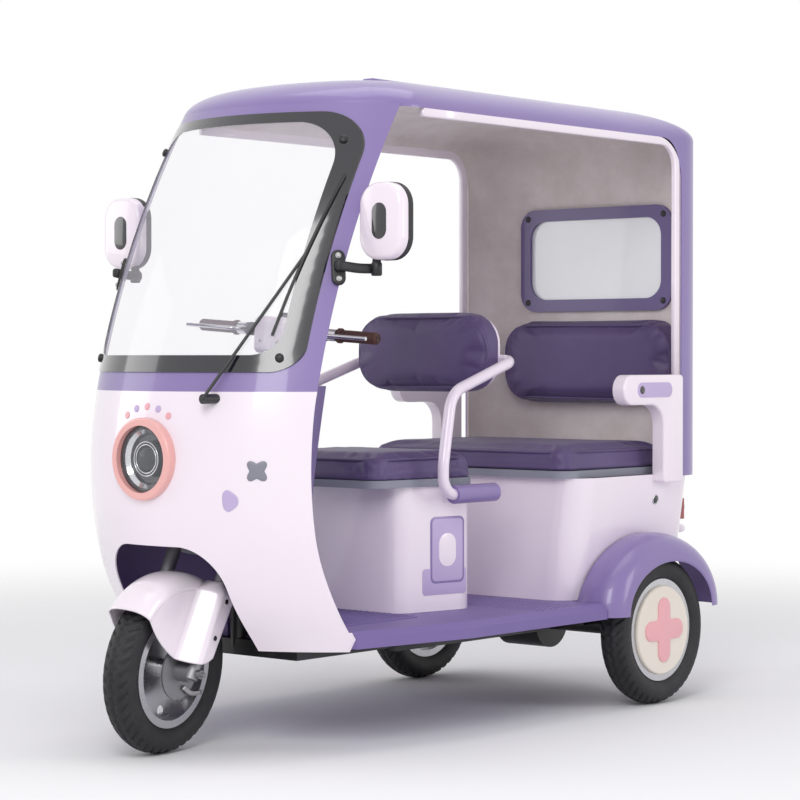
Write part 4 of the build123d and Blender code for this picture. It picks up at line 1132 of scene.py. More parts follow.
@dataclass(frozen=True)
class StuffedPad:
    """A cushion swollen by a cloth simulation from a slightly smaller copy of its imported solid."""

    node: str
    body: Body
    held: Point
    voxel: float = 0.006
    shrink: float = 0.982
    pressure: float = 4.0
    cap: float = 0.012
    frames: int = 20
    grip: float = 0.012
    stretch: float = 30.0
    bend: float = 2.0
    foam_fill: float = 0.75

    def build(self, kit: Kit) -> Object:
        """Makes the swollen pad in place of its node.

        Args:
            kit: the tricycle's finishes.

        Returns:
            The pad.
        """
        piece = self._remeshed()
        rest = places_of(piece)
        self._swell(piece, rest)
        smooth = piece.modifiers.new("smooth_cover", "SUBSURF")
        smooth.levels = smooth.render_levels = 1
        finish_piece(piece, kit["plum_leatherette"], self.body)
        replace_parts(piece, self.node)
        return piece

    def _remeshed(self) -> Object:
        """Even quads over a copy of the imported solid, drawn in a little from its free sides.

        Returns:
            The remeshed copy.
        """
        copy = bpy.data.objects.new(self.node + "_pad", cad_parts[self.node].data.copy())
        bpy.context.scene.collection.objects.link(copy)
        turn_outward(copy)
        places = places_of(copy)
        low, high = places.min(axis=0), places.max(axis=0)
        held = np.array(self.held)
        anchor = (low + high) / 2 + held * (high - low) / 2
        copy.data.vertices.foreach_set("co", (anchor + (places - anchor) * self.shrink).ravel())
        cut = copy.modifiers.new("even_quads", "REMESH")
        cut.mode = "VOXEL"
        cut.voxel_size = self.voxel
        mesh = bpy.data.meshes.new_from_object(copy.evaluated_get(bpy.context.evaluated_depsgraph_get()))
        copy.modifiers.clear()
        copy.data = mesh
        mesh.polygons.foreach_set("use_smooth", np.ones(len(mesh.polygons), bool))
        return copy

    def _swell(self, piece: Object, rest: Array) -> None:
        """Runs the cloth under pressure and keeps each point's move under the cap.

        A move of length l becomes c tanh(l / c), where c is the cap.

        Args:
            piece: the remeshed pad.
            rest: its places before the run.
        """
        held = np.array(self.held)
        depth = rest @ held
        group = piece.vertex_groups.new(name="held")
        group.add(np.flatnonzero(depth > depth.max() - self.grip).tolist(), 1.0, "REPLACE")
        cloth = piece.modifiers.new("cover_cloth", "CLOTH")
        cloth.settings.use_pressure = True
        cloth.settings.uniform_pressure_force = self.pressure
        cloth.settings.effector_weights.gravity = 0.0
        cloth.settings.vertex_group_mass = "held"
        cloth.settings.tension_stiffness = self.stretch
        cloth.settings.compression_stiffness = self.stretch
        cloth.settings.bending_stiffness = self.bend
        cloth.collision_settings.use_collision = False
        cloth.point_cache.frame_start = 1
        cloth.point_cache.frame_end = self.frames
        scene = bpy.context.scene
        for step in range(1, self.frames + 1):
            scene.frame_set(step)
        graph = bpy.context.evaluated_depsgraph_get()
        swollen = piece.evaluated_get(graph).to_mesh()
        moved = np.empty(len(swollen.vertices) * 3)
        swollen.vertices.foreach_get("co", moved)
        piece.evaluated_get(graph).to_mesh_clear()
        piece.modifiers.clear()
        scene.frame_set(1)
        move = moved.reshape(-1, 3) - rest
        length = np.linalg.norm(move, axis=1, keepdims=True)
        kept = self.cap * np.tanh(length / self.cap)
        places = rest + move / np.maximum(length, 1e-9) * kept
        piece.data.vertices.foreach_set("co", places.ravel())
        piece.vertex_groups.clear()
        piece.data.update()


def support_loop(piece: Object, across: Point, up: Point, lean: float, samples: int = 120) -> Array:
    """Loop of a rounded piece's points that lie furthest towards cos t a + sin t b + lean n.

    Args:
        piece: the piece.
        across: the loop plane's first axis, a.
        up: the loop plane's second axis, b; n is their cross product.
        lean: how far the directions lean along n.
        samples: number of points wanted.

    Returns:
        Smoothed points, (samples, 3).
    """
    places = places_of(piece)
    first, second = np.asarray(across, float), np.asarray(up, float)
    turn = np.linspace(0, FULL_TURN, 4 * samples, endpoint=False)
    ways = (np.cos(turn)[:, None] * first + np.sin(turn)[:, None] * second + lean * np.cross(first, second))
    loop = places[np.argmax(places @ ways.T, axis=0)]
    joined = np.vstack([loop, loop[:1]])
    run = np.concatenate([[0.0], np.cumsum(np.linalg.norm(np.diff(joined, axis=0), axis=1))])
    even = np.linspace(0, run[-1], samples, endpoint=False)
    path = np.stack([np.interp(even, run, joined[:, k]) for k in range(3)], axis=1)
    for _ in range(SOFTENING_ROUNDS):
        path = (np.roll(path, 1, axis=0) + 2 * path + np.roll(path, -1, axis=0)) / 4
    return path


@dataclass(frozen=True)
class Upholstery:
    """The two cushions and two backrests with the piping round each."""

    piping: float = 0.0032
    piping_lean: float = 0.75

    def build(self, kit: Kit) -> None:
        """Makes every pad with its piping.

        Args:
            kit: the tricycle's finishes.
        """
        pads = (
            (StuffedPad("driver_seat_cushion", Body.DRIVER_LID, (0, 0, -1), 0.006), (1, 0, 0), (0, 1, 0)),
            (StuffedPad("rear_seat_cushion", Body.REAR_LID, (0, 0, -1), 0.008), (1, 0, 0), (0, 1, 0)),
            (StuffedPad("rear_backrest", Body.CHASSIS, (0, 1, 0), 0.007), (1, 0, 0), (0, 0, 1)),
            (StuffedPad("driver_backrest", Body.CHASSIS, (0, 1, 0), 0.006), (1, 0, 0), (0, 0, 1)),
        )
        for pad, across, up in pads:
            piece = pad.build(kit)
            path = support_loop(piece, across, up, self.piping_lean)
            welt = carried(pad.node + "_piping", path, ring_profile(self.piping, 8),
                           tuple(np.cross(across, up).tolist()), closed=True)
            finish_piece(welt, kit["plum_leatherette"], pad.body)


@dataclass(frozen=True)
class Headlamp:
    """Round lamp behind the salmon ring: dark bowl, chrome crescent, projector and clear dome."""

    height: float = 0.724
    radius: float = 0.0812
    body: Body = Body.CHASSIS

    def build(self, kit: Kit) -> None:
        """Makes the lamp's pieces in place of the plain lens.

        Args:
            kit: the tricycle's finishes.
        """
        low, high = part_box("headlamp_lens")
        deep = high[1] - low[1]
        centre, axle = (0.0, high[1], self.height), (0.0, -1.0, 0.0)
        rim = self.radius
        bowl = np.array([(0.0, ON_AXLE), (0.0, 0.86 * rim), (0.6 * deep, rim), (0.80 * deep, rim),
                         (0.80 * deep, 0.93 * rim), (0.62 * deep, 0.92 * rim), (0.2 * deep, 0.72 * rim),
                         (0.1 * deep, ON_AXLE)])
        self._add(turned("lamp_bowl", bowl, centre, axle, 72), kit["black_gloss_frit"], "screen_black")
        mirror = np.array([(0.34 * deep, 0.80 * rim), (0.60 * deep, 0.905 * rim), (0.62 * deep, 0.89 * rim),
                           (0.37 * deep, 0.785 * rim)])
        self._add(turned("lamp_reflector", mirror, centre, axle, 72), kit["chrome_plate"], "bar_chrome")
        barrel = np.array([(0.1 * deep, ON_AXLE), (0.1 * deep, 0.52 * rim), (0.56 * deep, 0.50 * rim),
                           (0.60 * deep, 0.47 * rim), (0.58 * deep, 0.40 * rim), (0.5 * deep, 0.38 * rim),
                           (0.5 * deep, ON_AXLE)])
        self._add(turned("lamp_projector", barrel, centre, axle, 64), kit["black_pp"], "battery_black")
        for index, share in enumerate((0.515, 0.43)):
            ring = ring_profile(0.0016, 10) + np.array([0.585 * deep, share * rim])
            self._add(turned(f"lamp_projector_ring_{index}", ring, centre, axle, 64), kit["chrome_plate"],
                      "bar_chrome")
        turn = np.linspace(0, math.pi / 2, 12)
        ball = np.stack([0.5 * deep + 0.30 * deep * np.sin(turn), 0.385 * rim * np.cos(turn)], axis=1)
        ball[-1, 1] = ON_AXLE
        eye = np.vstack([[(0.495 * deep, ON_AXLE)], ball])
        self._add(turned("lamp_projector_lens", eye, centre, axle, 56), kit["lamp_eye_glass"], "lamp_glass")
        bulge = np.stack([0.80 * deep + 0.195 * deep * np.sin(turn), 0.985 * rim * np.cos(turn)], axis=1)
        inner = (bulge - np.array([0.0022, 0.0]))[::-1] * np.array([1.0, 0.985])
        bulge[-1, 1] = inner[0, 1] = ON_AXLE
        dome = turned("lamp_dome", np.vstack([bulge, inner]), centre, axle, 72)
        self._add(dome, kit["lamp_dome_glass"], "lamp_glass")
        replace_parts(dome, "headlamp_lens")

    def _add(self, piece: Object, finish: Material, slot: str) -> None:
        """Finishes one piece of the lamp."""
        sharpen(piece, 40)
        finish_piece(piece, finish, self.body)


@dataclass(frozen=True)
class RearFenders:
    """Smooth purple arches over the rear wheels, in place of the faceted ones.

    Each arch is y = c + R(v) cos t, z = z0 + (T(v) - z0) sin t for t from 0 to a half turn, where the
    reach R, top T and x run through knots from the tub's wall to the lip.
    """

    axle_y: float = 0.615
    behind: float = 0.010
    reach: float = 0.278
    wall: float = 0.004
    tub_lean: float = 0.142
    lean_foot: float = 0.302
    lean_x: float = 0.44
    lean_span: float = 0.088

    def build(self, kit: Kit) -> None:
        """Makes both arches.

        Args:
            kit: the tricycle's finishes.
        """
        low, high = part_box("rear_fenders")
        reach = self.reach
        middle = self.axle_y + self.behind
        top = high[2]
        out = high[0]
        knots = np.array([
            (0.352, reach - 0.010, top - 0.002), (0.392, reach - 0.001, top),
            (0.426, reach - 0.001, top - 0.002),
            (0.452, reach - 0.009, top - 0.010), (0.472, reach - 0.024, top - 0.025),
            (out - 0.005, reach - 0.046, top - 0.047), (out, reach - 0.072, top - 0.074)])
        outer = smooth_path(knots, 40)
        normal = np.array([0.55, 1.0, 1.0])
        inner = outer[::-1] - self.wall * normal
        profile = np.vstack([outer, inner])
        turn = np.linspace(0, math.pi, 97)[:, None]
        for sign, side in ((1, "left"), (-1, "right")):
            z = low[2] + (profile[None, :, 2] - low[2]) * np.sin(turn)
            near_tub = np.clip((self.lean_x - profile[None, :, 0]) / self.lean_span, 0, 1)
            lean = self.tub_lean * (z - self.lean_foot) * near_tub
            x = np.broadcast_to(profile[None, :, 0], z.shape) + lean
            y = middle + profile[None, :, 1] * np.cos(turn)
            points = np.stack([sign * x, y, z], axis=-1)
            piece = grid_object("rear_fender_" + side, points, wrap_columns=True, capped=True)
            sharpen(piece, 50)
            fix(piece, kit["purple_abs"])
            if sign > 0:
                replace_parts(piece, "rear_fenders")


@dataclass(frozen=True)
class HandControls:
    """Ribbed grips, switch pods with their keys, the display's face and the headset's screws."""

    steering: SteeringLine
    bar_y: float = -0.4219
    bar_z: float = 1.03872
    bar_half: float = 0.276
    grip: float = 0.118
    grip_radius: float = 0.016
    rib_height: float = 0.0011
    rib_pitch: float = 0.0062
    flange: float = 0.0035
    pod_inboard: float = 0.052
    display_back: float = 0.0048
    display_rise: float = 0.022
    screw_x: float = 0.026
    screw_ahead: float = 0.0872
    screw_drop: float = 0.025

    def build(self, kit: Kit) -> None:
        """Makes every piece straight ahead and parks it.

        Args:
            kit: the tricycle's finishes.
        """
        for sign, side in ((1, "left"), (-1, "right")):
            self._grip(kit, sign, side)
            self._pod(kit, sign, side)
        face = plate("display_face", rounded_box_profile(0.074, 0.052, 0.012),
                     (0, self.bar_y + self.display_back, self.bar_z + self.display_rise), (-1, 0, 0),
                     (0, 0, 1), 0.004, 0.0015)
        self._add(face, kit["black_gloss_frit"], "screen_black")
        for index, across in enumerate((-self.screw_x, self.screw_x)):
            place = (across, self.bar_y - self.screw_ahead, self.bar_z - self.screw_drop)
            head = button(f"headset_screw_{index}", place, (0, -1, 0), 0.004, 0.003)
            self._add(head, kit["zinc_bolt"], "rim_silver")

    def _grip(self, kit: Kit, sign: int, side: str) -> None:
        """Ribbed rubber grip: radius r + h max(0, sin) along its length, with a flanged inner end.

        Args:
            kit: the tricycle's finishes.
            sign: one for the left side, minus one for the right.
            side: the side's name.
        """
        along = np.linspace(0, self.grip, 120)
        rib = self.rib_height * np.clip(np.sin(along * FULL_TURN / self.rib_pitch), 0, 1)
        wide = self.grip_radius - 0.0012 + rib
        wide[:9] = self.grip_radius + self.flange
        wide[-3:] = self.grip_radius - 0.003
        ends = [(self.grip, ON_AXLE), (self.grip * 0.02, ON_AXLE)]
        outline = np.vstack([np.stack([along, wide], axis=1), ends])
        start = (sign * (self.bar_half - self.grip), self.bar_y, self.bar_z)
        piece = turned("ribbed_grip_" + side, outline, start, (sign, 0, 0), 40)
        self._add(piece, kit["brown_grip_rubber"], "grip_brown")
        if sign > 0:
            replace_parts(piece, "grips")

    def _pod(self, kit: Kit, sign: int, side: str) -> None:
        """Black switch pod inboard of a grip, with two small keys.

        Args:
            kit: the tricycle's finishes.
            sign: one for the left side, minus one for the right.
            side: the side's name.
        """
        place = (sign * (self.bar_half - self.grip - self.pod_inboard), self.bar_y, self.bar_z)
        outline = np.array([(-0.016, ON_AXLE), (-0.016, 0.014), (-0.013, 0.0175), (0.013, 0.0175), (0.016, 0.014),
                            (0.016, ON_AXLE)])
        pod = turned("switch_pod_" + side, outline, place, (1, 0, 0), 32)
        sharpen(pod, 40)
        self._add(pod, kit["black_pp"], "battery_black")
        for index, (shift, colour) in enumerate(((-0.007, "red_lens_acrylic"), (0.007, "grey_rim_pp"))):
            key = button(f"switch_key_{side}_{index}", (place[0] + shift, place[1] + 0.0155, place[2] + 0.006),
                         (0, 1, 0.3), 0.0035, 0.003)
            self._add(key, kit[colour], "rim_grey")

    def _add(self, piece: Object, finish: Material, slot: str) -> None:
        """Parks and finishes a piece."""
        finish_piece(self.steering.park(piece), finish, Body.STEERING)


@dataclass(frozen=True)
class BodyTrim:
    """Small fixed trim: knobs, patches, sleeves, screws, insets, the lock, the floor's ribs and studs."""

    skin: FrontBody
    hoop_x: float = 0.288
    barrel_y: tuple[float, float] = (-0.1, 0.072)
    barrel_z: float = 0.612
    barrel_radius: float = 0.0248
    knob_x: float = 0.31
    knob_heights: tuple[float, float] = (0.970, 1.509)
    lamp_height: float = 0.724
    dots_radius: float = 0.128
    screw_margin: float = 0.028
    armrest_face: float = 0.428
    inset_height: float = 0.8805
    lock: Point = (0.3835, 0.692, 0.568)
    lock_axis: Point = (1, 0, -0.14)
    mat_half: float = 0.27
    mat_span: tuple[float, float] = (-0.535, -0.24)
    mat_top: float = 0.3046
    mat_ribs: int = 28
    stud_pitch: float = 0.015
    stud_grid: tuple[int, int] = (13, 58)
    stud_corner: tuple[float, float] = (-0.427, 0.075)
    stud_foot: tuple[float, float] = (0.0034, 0.3016)
    stud_top: tuple[float, float] = (0.0020, 0.3031)
    stud_sides: int = 8

    def build(self, kit: Kit) -> None:
        """Makes every small piece.

        Args:
            kit: the tricycle's finishes.
        """
        self._knobs(kit)
        self._patches(kit)
        self._box_panels(kit)
        self._sleeves(kit)
        self._window_screws(kit)
        self._badges(kit)
        self._ribs(kit)
        self._studs(kit)

    def _knobs(self, kit: Kit) -> None:
        """Four black knobs that clamp the clear sheet.

        Args:
            kit: the tricycle's finishes.
        """
        spots = [(sign * self.knob_x, height) for height in self.knob_heights for sign in (-1, 1)]
        for index, (across, height) in enumerate(spots):
            place = self.skin.point(across, height, 0.0044)
            way = tuple(self.skin.outward(across, height).tolist())
            fix(button(f"screen_knob_{index}", place, way, 0.011, 0.009), kit["black_pp"])

    def _decal(self, name: str, outline: Array, across: float, height: float, proud: float = 0.0007) -> Object:
        """Thin pad that follows the bowed skin: rings of the outline, each put on the skin's surface.

        Args:
            name: the pad's name.
            outline: closed outline about its middle, (n, 2).
            across: place across, from the middle.
            height: height over the ground.
            proud: distance outward from the skin.

        Returns:
            The closed pad.
        """
        size = np.array([1.0, 1.0, 0.97, 0.6, 0.25, 0.02])
        lift = np.array([0.0, 0.6, 1.0, 1.0, 1.0, 1.0]) * proud + 0.0003
        flat = outline[None] * size[:, None, None]
        turn = np.arcsin((across + flat[..., 0] * math.cos(math.asin(across / self.skin.radius)))
                         / self.skin.radius)
        centre = self.skin.nose_line(height + flat[..., 1]) + self.skin.radius + self.skin.datum
        reach = self.skin.radius + lift[:, None]
        points = np.stack([reach * np.sin(turn), centre - reach * np.cos(turn), height + flat[..., 1]], axis=-1)
        return grid_object(name, points, wrap_columns=True, capped=True)

    def _patches(self, kit: Kit) -> None:
        """Plain pastel patches on the nose: a four-lobed one, a soft one and dots over the lamp.

        Args:
            kit: the tricycle's finishes.
        """
        around = np.linspace(0, FULL_TURN, 96, endpoint=False)
        lobes = 0.0245 + 0.0062 * np.cos(4 * (around - math.pi / 4))
        cross = lobes[:, None] * np.stack([np.cos(around), np.sin(around)], axis=1)
        fix(self._decal("nose_cross_patch", cross, 0.29, 0.70, 0.0016), kit["grey_patch_vinyl"])
        puff = 0.020 * (1 + 0.10 * np.cos(3 * around))[:, None] * np.stack(
            [np.cos(around), 1.25 * np.sin(around)], axis=1)
        fix(self._decal("nose_puff_patch", puff, 0.232, 0.628), kit["lilac_patch_vinyl"])
        for index, lean in enumerate((-34, -17, 0, 17, 34)):
            turn = math.radians(lean)
            dot = ring_profile(0.0085, 32)
            pad = self._decal(f"nose_dot_{index}", dot, self.dots_radius * math.sin(turn),
                              self.lamp_height + self.dots_radius * math.cos(turn))
            fix(pad, kit[("pink_cross_abs", "lilac_patch_vinyl")[index % 2]])

    def _box_panels(self, kit: Kit) -> None:
        """Plain pads on the driver's seat box.

        Each row holds a pad's name, place along the side, height, width, length, corner, finish and thickness.

        Args:
            kit: the tricycle's finishes.
        """
        for sign, side in ((1, "left"), (-1, "right")):
            along = unit(np.array([sign * 0.053, 0.278, 0.0]))
            corner = np.array([sign * 0.2053, -0.228, 0.0])
            up = (0, 0, 1)
            panels = (("lower", 0.158, 0.380, 0.150, 0.070, 0.010, "lilac_patch_vinyl", 0.0006),
                      ("panel", 0.168, 0.463, 0.116, 0.176, 0.016, "purple_abs", 0.0009),
                      ("inner", 0.168, 0.463, 0.104, 0.164, 0.012, "lilac_patch_vinyl", 0.0013),
                      ("drop", 0.168, 0.463, 0.058, 0.088, 0.028, "pearl_white_abs", 0.0017))
            for name, run, height, wide, tall, round_, finish, proud in panels:
                centre = corner + along * run + np.array([sign * 0.0001, 0, height])
                outline = rounded_box_profile(wide, tall, round_, 8)
                way = tuple((sign * along).tolist())
                pad = plate(f"seat_box_{name}_{side}", outline, centre, way, up, proud, 0.0003)
                fix(pad, kit[finish])

    def _sleeves(self, kit: Kit) -> None:
        """Purple sleeves over the backrest hoop's barrels.

        Args:
            kit: the tricycle's finishes.
        """
        start, end = self.barrel_y
        run, wide = end - start, self.barrel_radius
        outline = np.array([(-0.0006, 0.0152), (-0.0006, wide - 0.0015), (0.001, wide), (run - 0.001, wide),
                            (run + 0.0006, wide - 0.0015), (run + 0.0006, ON_AXLE), (run - 0.002, ON_AXLE),
                            (run - 0.002, 0.0152)])
        for sign, side in ((1, "left"), (-1, "right")):
            foot = (sign * self.hoop_x, start, self.barrel_z)
            piece = turned("hoop_sleeve_" + side, outline, foot, (0, 1, 0), 40)
            sharpen(piece, 40)
            fix(piece, kit["purple_abs"])

    def _window_screws(self, kit: Kit) -> None:
        """Dark screws in the corners of the rear window's frame.

        Args:
            kit: the tricycle's finishes.
        """
        low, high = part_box("rear_window_frame")
        across = (high[0] - low[0]) / 2 - self.screw_margin
        spots = [(x, z) for x in (-across, across)
                 for z in (low[2] + self.screw_margin, high[2] - self.screw_margin)]
        for index, (x, z) in enumerate(spots):
            screw = button(f"window_screw_{index}", (x, low[1], z), (0, -1, 0), 0.0095, 0.0025)
            fix(screw, kit["black_pp"])

    def _badges(self, kit: Kit) -> None:
        """Lilac insets on the armrests and the round key lock on the tub.

        Args:
            kit: the tricycle's finishes.
        """
        for sign, side in ((1, "left"), (-1, "right")):
            face = sign * self.armrest_face
            outline = rounded_box_profile(0.170, 0.042, 0.0205, 10)
            inset = plate("armrest_inset_" + side, outline, (face - sign * 0.0002, 0.625, self.inset_height),
                          (0, sign, 0), (0, 0, 1), 0.0014, 0.0007)
            fix(inset, kit["lilac_patch_vinyl"])
            place = (face + sign * 0.001, 0.562, self.inset_height)
            dot = button("armrest_stud_" + side, place, (sign, 0, 0), 0.0115, 0.002)
            fix(dot, kit["black_gloss_frit"])
        lock = button("tub_lock", self.lock, self.lock_axis, 0.012, 0.005)
        fix(lock, kit["black_gloss_frit"])
        ring = turned("tub_lock_ring", ring_profile(0.0018, 10) + np.array([0.001, 0.0128]),
                      self.lock, self.lock_axis, 32)
        fix(ring, kit["chrome_plate"])

    def _ribs(self, kit: Kit) -> None:
        """Low ribs lengthwise on the driver's foot mat.

        Args:
            kit: the tricycle's finishes.
        """
        pieces = []
        profile = rounded_box_profile(0.005, 0.0022, 0.001, 3)
        for index, across in enumerate(np.linspace(-self.mat_half, self.mat_half, self.mat_ribs).tolist()):
            path = np.array([(across, y, self.mat_top) for y in np.linspace(*self.mat_span, 3).tolist()])
            pieces.append(carried(f"mat_rib_{index}", path, profile, (1, 0, 0)))
        fix(merged("floor_ribs", pieces), kit["purple_floor_pp"])

    def _studs(self, kit: Kit) -> None:
        """Anti-slip studs over the passengers' floor: low cones with cut tips on a staggered grid.

        Args:
            kit: the tricycle's finishes.
        """
        rows, columns = np.meshgrid(*(np.arange(count) for count in self.stud_grid), indexing="ij")
        pitch, sides = self.stud_pitch, self.stud_sides
        across = (self.stud_corner[0] + pitch * columns + pitch / 2 * (rows % 2)).ravel()
        along = (self.stud_corner[1] + pitch * rows).ravel()
        turn = np.linspace(0, FULL_TURN, sides, endpoint=False)
        ring = np.stack([np.cos(turn), np.sin(turn)], axis=1)
        stud = np.vstack([np.column_stack([radius * ring, np.full(sides, height)])
                          for radius, height in (self.stud_foot, self.stud_top)])
        base = np.stack([across, along, np.zeros_like(across)], axis=1)
        places = (base[:, None] + stud[None]).reshape(-1, 3)
        side = grid_faces(2, sides, False, True)
        start = np.arange(len(across))[:, None] * 2 * sides
        faces = (side[None] + start[:, :, None]).reshape(-1, 4).tolist()
        tops = (start + np.arange(sides, 2 * sides)[None]).tolist()
        feet = (start + np.arange(sides - 1, -1, -1)[None]).tolist()
        piece = merged_object("floor_studs", places, [tuple(f) for f in faces + tops + feet])
        turn_outward(piece)
        fix(piece, kit["purple_floor_pp"])


@dataclass(frozen=True)
class Underbody:
    """Springs, side bars and outriggers that show under the floor."""

    axle_y: float = 0.615
    spring_x: float = 0.262
    spring_radius: float = 0.026
    spring_wire: float = 0.0042
    spring_span: tuple[float, float] = (0.245, 0.300)
    coils: int = 7
    bar_x: float = 0.352
    bar_z: float = 0.246
    bar_span: tuple[float, float] = (-0.42, 0.22)
    arm_places: Point = (-0.36, -0.08, 0.18)
    arm_reach: Point = (0.19, 0.27, 0.36)
    arm_z: float = 0.250

    def build(self, kit: Kit) -> None:
        """Makes coil springs beside the rear axle and a bar under each side of the floor.

        Args:
            kit: the tricycle's finishes.
        """
        for sign, side in ((1, "left"), (-1, "right")):
            turn = np.linspace(0, self.coils * FULL_TURN, 24 * self.coils + 1)
            rise = np.linspace(*self.spring_span, len(turn))
            coil = np.stack([sign * self.spring_x + self.spring_radius * np.cos(turn),
                             self.axle_y + self.spring_radius * np.sin(turn), rise], axis=1)
            spring = carried("rear_spring_" + side, coil, ring_profile(self.spring_wire, 8), (0, 0, 1))
            fix(spring, kit["black_coated_steel"])
            stations = np.linspace(*self.bar_span, 5).tolist()
            path = np.array([(sign * self.bar_x, y, self.bar_z) for y in stations])
            bar = carried("side_bar_" + side, path, rounded_box_profile(0.028, 0.022, 0.004, 4), (1, 0, 0))
            fix(bar, kit["black_coated_steel"])
            arms = []
            for index, y in enumerate(self.arm_places):
                run = np.array([(sign * x, y, self.arm_z) for x in self.arm_reach])
                arms.append(carried(f"outrigger_{index}", run, rounded_box_profile(0.020, 0.016, 0.003, 3),
                                    (0, 1, 0)))
            fix(merged("floor_outriggers_" + side, arms), kit["black_coated_steel"])


@dataclass(frozen=True)
class ForkTrim:
    """Bolts on the leg covers and the brake lever beside the front wheel."""

    steering: SteeringLine
    cover_x: float = 0.1178
    bolt_runs: tuple[float, float] = (0.095, 0.190)
    bolt_ahead: float = 0.045
    axle_y: float = -0.88
    axle_z: float = 0.2085

    def build(self, kit: Kit) -> None:
        """Makes the fasteners and the brake arm.

        Args:
            kit: the tricycle's finishes.
        """
        for sign, side in ((1, "left"), (-1, "right")):
            for index, along in enumerate(self.bolt_runs):
                place = self.steering.place(sign * self.cover_x, along, self.bolt_ahead)
                head = button(f"cover_bolt_{side}_{index}", place, (sign, 0, 0), 0.0065, 0.004)
                self._add(head, kit["black_pp"], "battery_black")
        arm = np.array([(0.052, self.axle_y + 0.010, self.axle_z - 0.040),
                        (0.056, self.axle_y + 0.040, self.axle_z - 0.058),
                        (0.058, self.axle_y + 0.078, self.axle_z - 0.060)])
        profile = rounded_box_profile(0.012, 0.005, 0.002, 4)
        lever = carried("brake_arm", smooth_path(arm, 12), profile, (0, 0, 1))
        self._add(lever, kit["zinc_bolt"], "rim_silver")

    def _add(self, piece: Object, finish: Material, slot: str) -> None:
        """Parks and finishes a piece."""
        finish_piece(self.steering.park(piece), finish, Body.STEERING)


def rounded_outline(corners: list[tuple[float, float]], radii: list[float], steps: int = 9) -> Array:
    """Polygon whose corners are arcs of given radii, anticlockwise.

    Args:
        corners: the polygon's corners, anticlockwise.
        radii: radius of each corner.
        steps: points along each arc.

    Returns:
        Points as an (n, 2) array.
    """
    places = np.asarray(corners, float)
    back = unit(np.roll(places, 1, axis=0) - places)
    ahead = unit(np.roll(places, -1, axis=0) - places)
    half = np.arccos(np.clip(np.sum(back * ahead, axis=1), -1, 1)) / 2
    run = np.asarray(radii, float) / np.tan(half)
    share = np.linspace(0, 1, steps)[None, :, None]
    start, end = places + back * run[:, None], places + ahead * run[:, None]
    middle = places + unit(back + ahead) * (np.asarray(radii) / np.sin(half))[:, None]
    first, last = start - middle, end - middle
    sweep = (math.pi - 2 * half)[:, None, None]
    blend = np.sin((1 - share) * sweep) * first[:, None] + np.sin(share * sweep) * last[:, None]
    return (middle[:, None] + blend / np.sin(sweep)).reshape(-1, 2)


